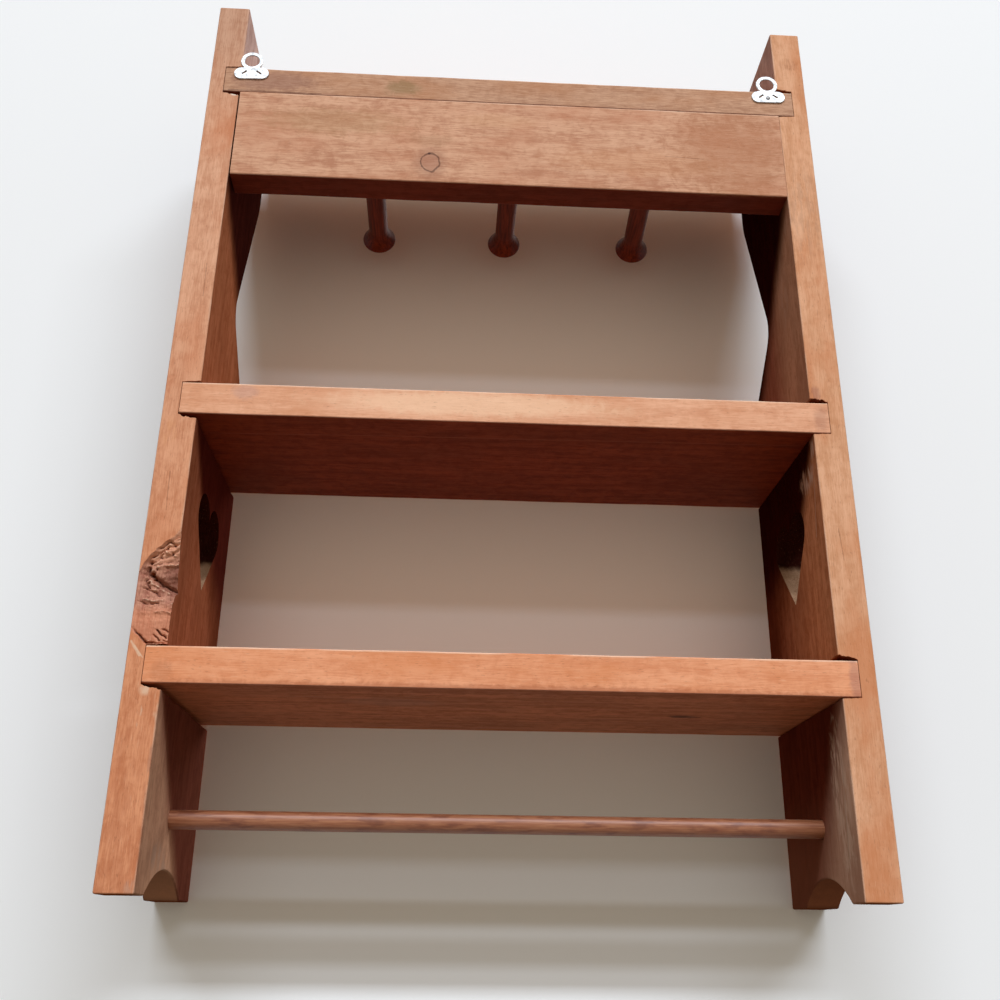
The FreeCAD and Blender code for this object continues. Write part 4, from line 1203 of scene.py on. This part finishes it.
# %% Boards and sides on the rack
def paint(piece, finish, *others):
    """The finish everywhere, and each other (finish, test) on the faces where its test holds."""
    piece.data.materials.clear()
    for material in (finish, *(other for other, _ in others)):
        piece.data.materials.append(material)
    for face in piece.data.polygons:
        face.material_index = 0
        for k, (_, test) in enumerate(others, start=1):
            if test(face):
                face.material_index = k


def on_heart(face):
    """Whether a face is a wall of the heart."""
    middle = face.center / MM
    return abs(face.normal.x) < 0.3 and 160 < middle.z < 220 and abs(middle.y - HEART_MIDDLE) < 32


def on_break(face):
    """Whether a face is torn wood."""
    middle = face.center / MM
    depth = break_depth(middle.x, middle.z)
    return (INNER + 0.02 < middle.x < OUTER and 113 < middle.z < 184 and depth > 0.06
            and abs(REAR - middle.y - depth) < 0.5 and face.normal.y > 0.02 and face.area < 0.7 * MM * MM)


for node, piece in {**boards, "left_side": left_side, "right_side": right_side}.items():
    if node.endswith("_side"):
        paint(piece, woods[node], (heart_wall, on_heart), (torn, on_break))
    else:
        paint(piece, woods[node])
    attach(piece, "rack")
    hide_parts(node)
for node, piece in pegs.items():
    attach(piece, "rack")
    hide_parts(node)
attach(dowel, "dowel")
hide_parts("dowel_rail")
for node, piece in {**hangers, **nails}.items():
    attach(piece, "rack")
    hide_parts(node)

# %% [markdown]
# ## Table, floor and light
# The white table stands upright behind the rack's front, because the rack hangs upright in its
# own frame. It shows only to a camera on its own side, so the views from the front pass
# through it. Four soft lamps beyond the ears stand for the panes of a window, and a weak one
# lights the front.


# %% The stage
FAR, TABLE, FLOOR = 3000, -58.6, -0.3


def stage_sheet(name, corners, tone):
    """A sheet of plain paint that is only there when seen from its front."""
    paint = Finish(name, Roughness=0.7, Base_Color=tone, Specular_IOR_Level=0.2)
    which = paint.node("ShaderNodeMixShader", {
        0: paint.node("ShaderNodeNewGeometry").outputs["Backfacing"], 1: paint.shader.outputs[0],
        2: paint.node("ShaderNodeBsdfTransparent").outputs[0]})
    paint.put(paint.tree.nodes["Material Output"].inputs["Surface"], which.outputs[0])
    sheet = shape(name, corners, [(0, 1, 2, 3)])
    sheet.data.materials.append(paint.material)
    sheet.visible_shadow = sheet.visible_diffuse = False
    sheet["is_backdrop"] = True


stage_sheet("table", [(-FAR, TABLE, -FAR), (-FAR, TABLE, FAR), (FAR, TABLE, FAR), (FAR, TABLE, -FAR)],
            (247, 249, 250))
stage_sheet("floor", [(-FAR, -FAR, FLOOR), (FAR, -FAR, FLOOR), (FAR, FAR, FLOOR), (-FAR, FAR, FLOOR)],
            (238, 239, 240))

# a black card, as photographers use it, keeps stray light from under the top shelf's front
flag = shape("light_flag", [(-170, -58.5, 490), (170, -58.5, 490), (170, -38.4, 490), (-170, -38.4, 490)],
             [(0, 1, 2, 3)])
flag.data.materials.append(Finish("black_card", Roughness=0.9, Base_Color=(20, 20, 20)).material)
flag.visible_camera = flag.visible_glossy = flag.visible_diffuse = False
flag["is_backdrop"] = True

# %% The light
world = bpy.data.worlds.new("studio")
bpy.context.scene.world = world
world.use_nodes = True
sky = Nodes(world.node_tree)
direction = sky.node("ShaderNodeTexCoord").outputs["Generated"]


def towards(aim, power, much):
    """Light that grows as a direction turns to an aim."""
    facing = sky.node("ShaderNodeVectorMath", {0: direction, 1: Vector(aim).normalized()},
                      operation="DOT_PRODUCT").outputs["Value"]
    return sky.sum("MULTIPLY", sky.sum("POWER", sky.sum("MAXIMUM", facing, 0.0), power), much)


# the sky that lights is warm and uneven; the sky that is seen is plain
lit = sky.tree.nodes["Background"]
seen = sky.node("ShaderNodeBackground", {"Color": (0.90, 0.915, 0.92, 1.0)})
strength = sky.sum("ADD", towards((0, 1, 0.1), 2.0, 0.56), towards((0, -1, 0.2), 1.0, 0.30))
sky.put(lit.inputs["Strength"], sky.sum("ADD", strength, 0.05))
lit.inputs["Color"].default_value = (1.0, 0.86, 0.665, 1.0)
rays = sky.node("ShaderNodeLightPath").outputs
plain = sky.sum("MAXIMUM", sky.sum("MAXIMUM", rays["Is Camera Ray"], rays["Is Glossy Ray"]),
                rays["Is Transmission Ray"])
choice = sky.node("ShaderNodeMixShader", {0: plain, 1: lit.outputs[0], 2: seen.outputs[0]})
sky.put(sky.tree.nodes["World Output"].inputs["Surface"], choice.outputs[0])


def soft_lamp(name, place, aim, wide, tall, watts, tint):
    """A soft box whose long side lies level."""
    lamp = add(name, bpy.data.lights.new(name, "AREA"))
    lamp.location = place
    lamp.rotation_mode = "QUATERNION"
    lamp.rotation_quaternion = (Vector(aim) - Vector(place)).to_track_quat("-Z", "Y")
    lamp.data.shape = "RECTANGLE"
    lamp.data.size, lamp.data.size_y = wide, tall
    lamp.data.energy, lamp.data.color = watts, tint


# the window's panes: the angle above the table's normal, sideways shift, width and watts
PANES = ((33, 0, 8.1, 70), (44, 0, 8.1, 158), (48.9, -4.95, 2.4, 140), (48.9, 0, 8.1, 425))
for k, (angle, aside, wide, watts) in enumerate(PANES):
    a = math.radians(angle)
    foot = Vector((aside, -0.058, 0.1))
    soft_lamp(f"window_{k}", foot + 9.0 * Vector((0, math.cos(a), math.sin(a))), foot, wide, 0.45, watts,
              (0.965, 1.04, 1.15))
soft_lamp("front_fill", (-0.7, -2.2, 1.9), (0, 0, 0.25), 1.6, 1.6, 42, (1, 1, 1))
bpy.context.scene.view_settings.view_transform = "Standard"

# %% The scene's box, and the end
low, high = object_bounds()
print("scene box, mm:", [round(v * 1000, 2) for v in (*low, *high)])
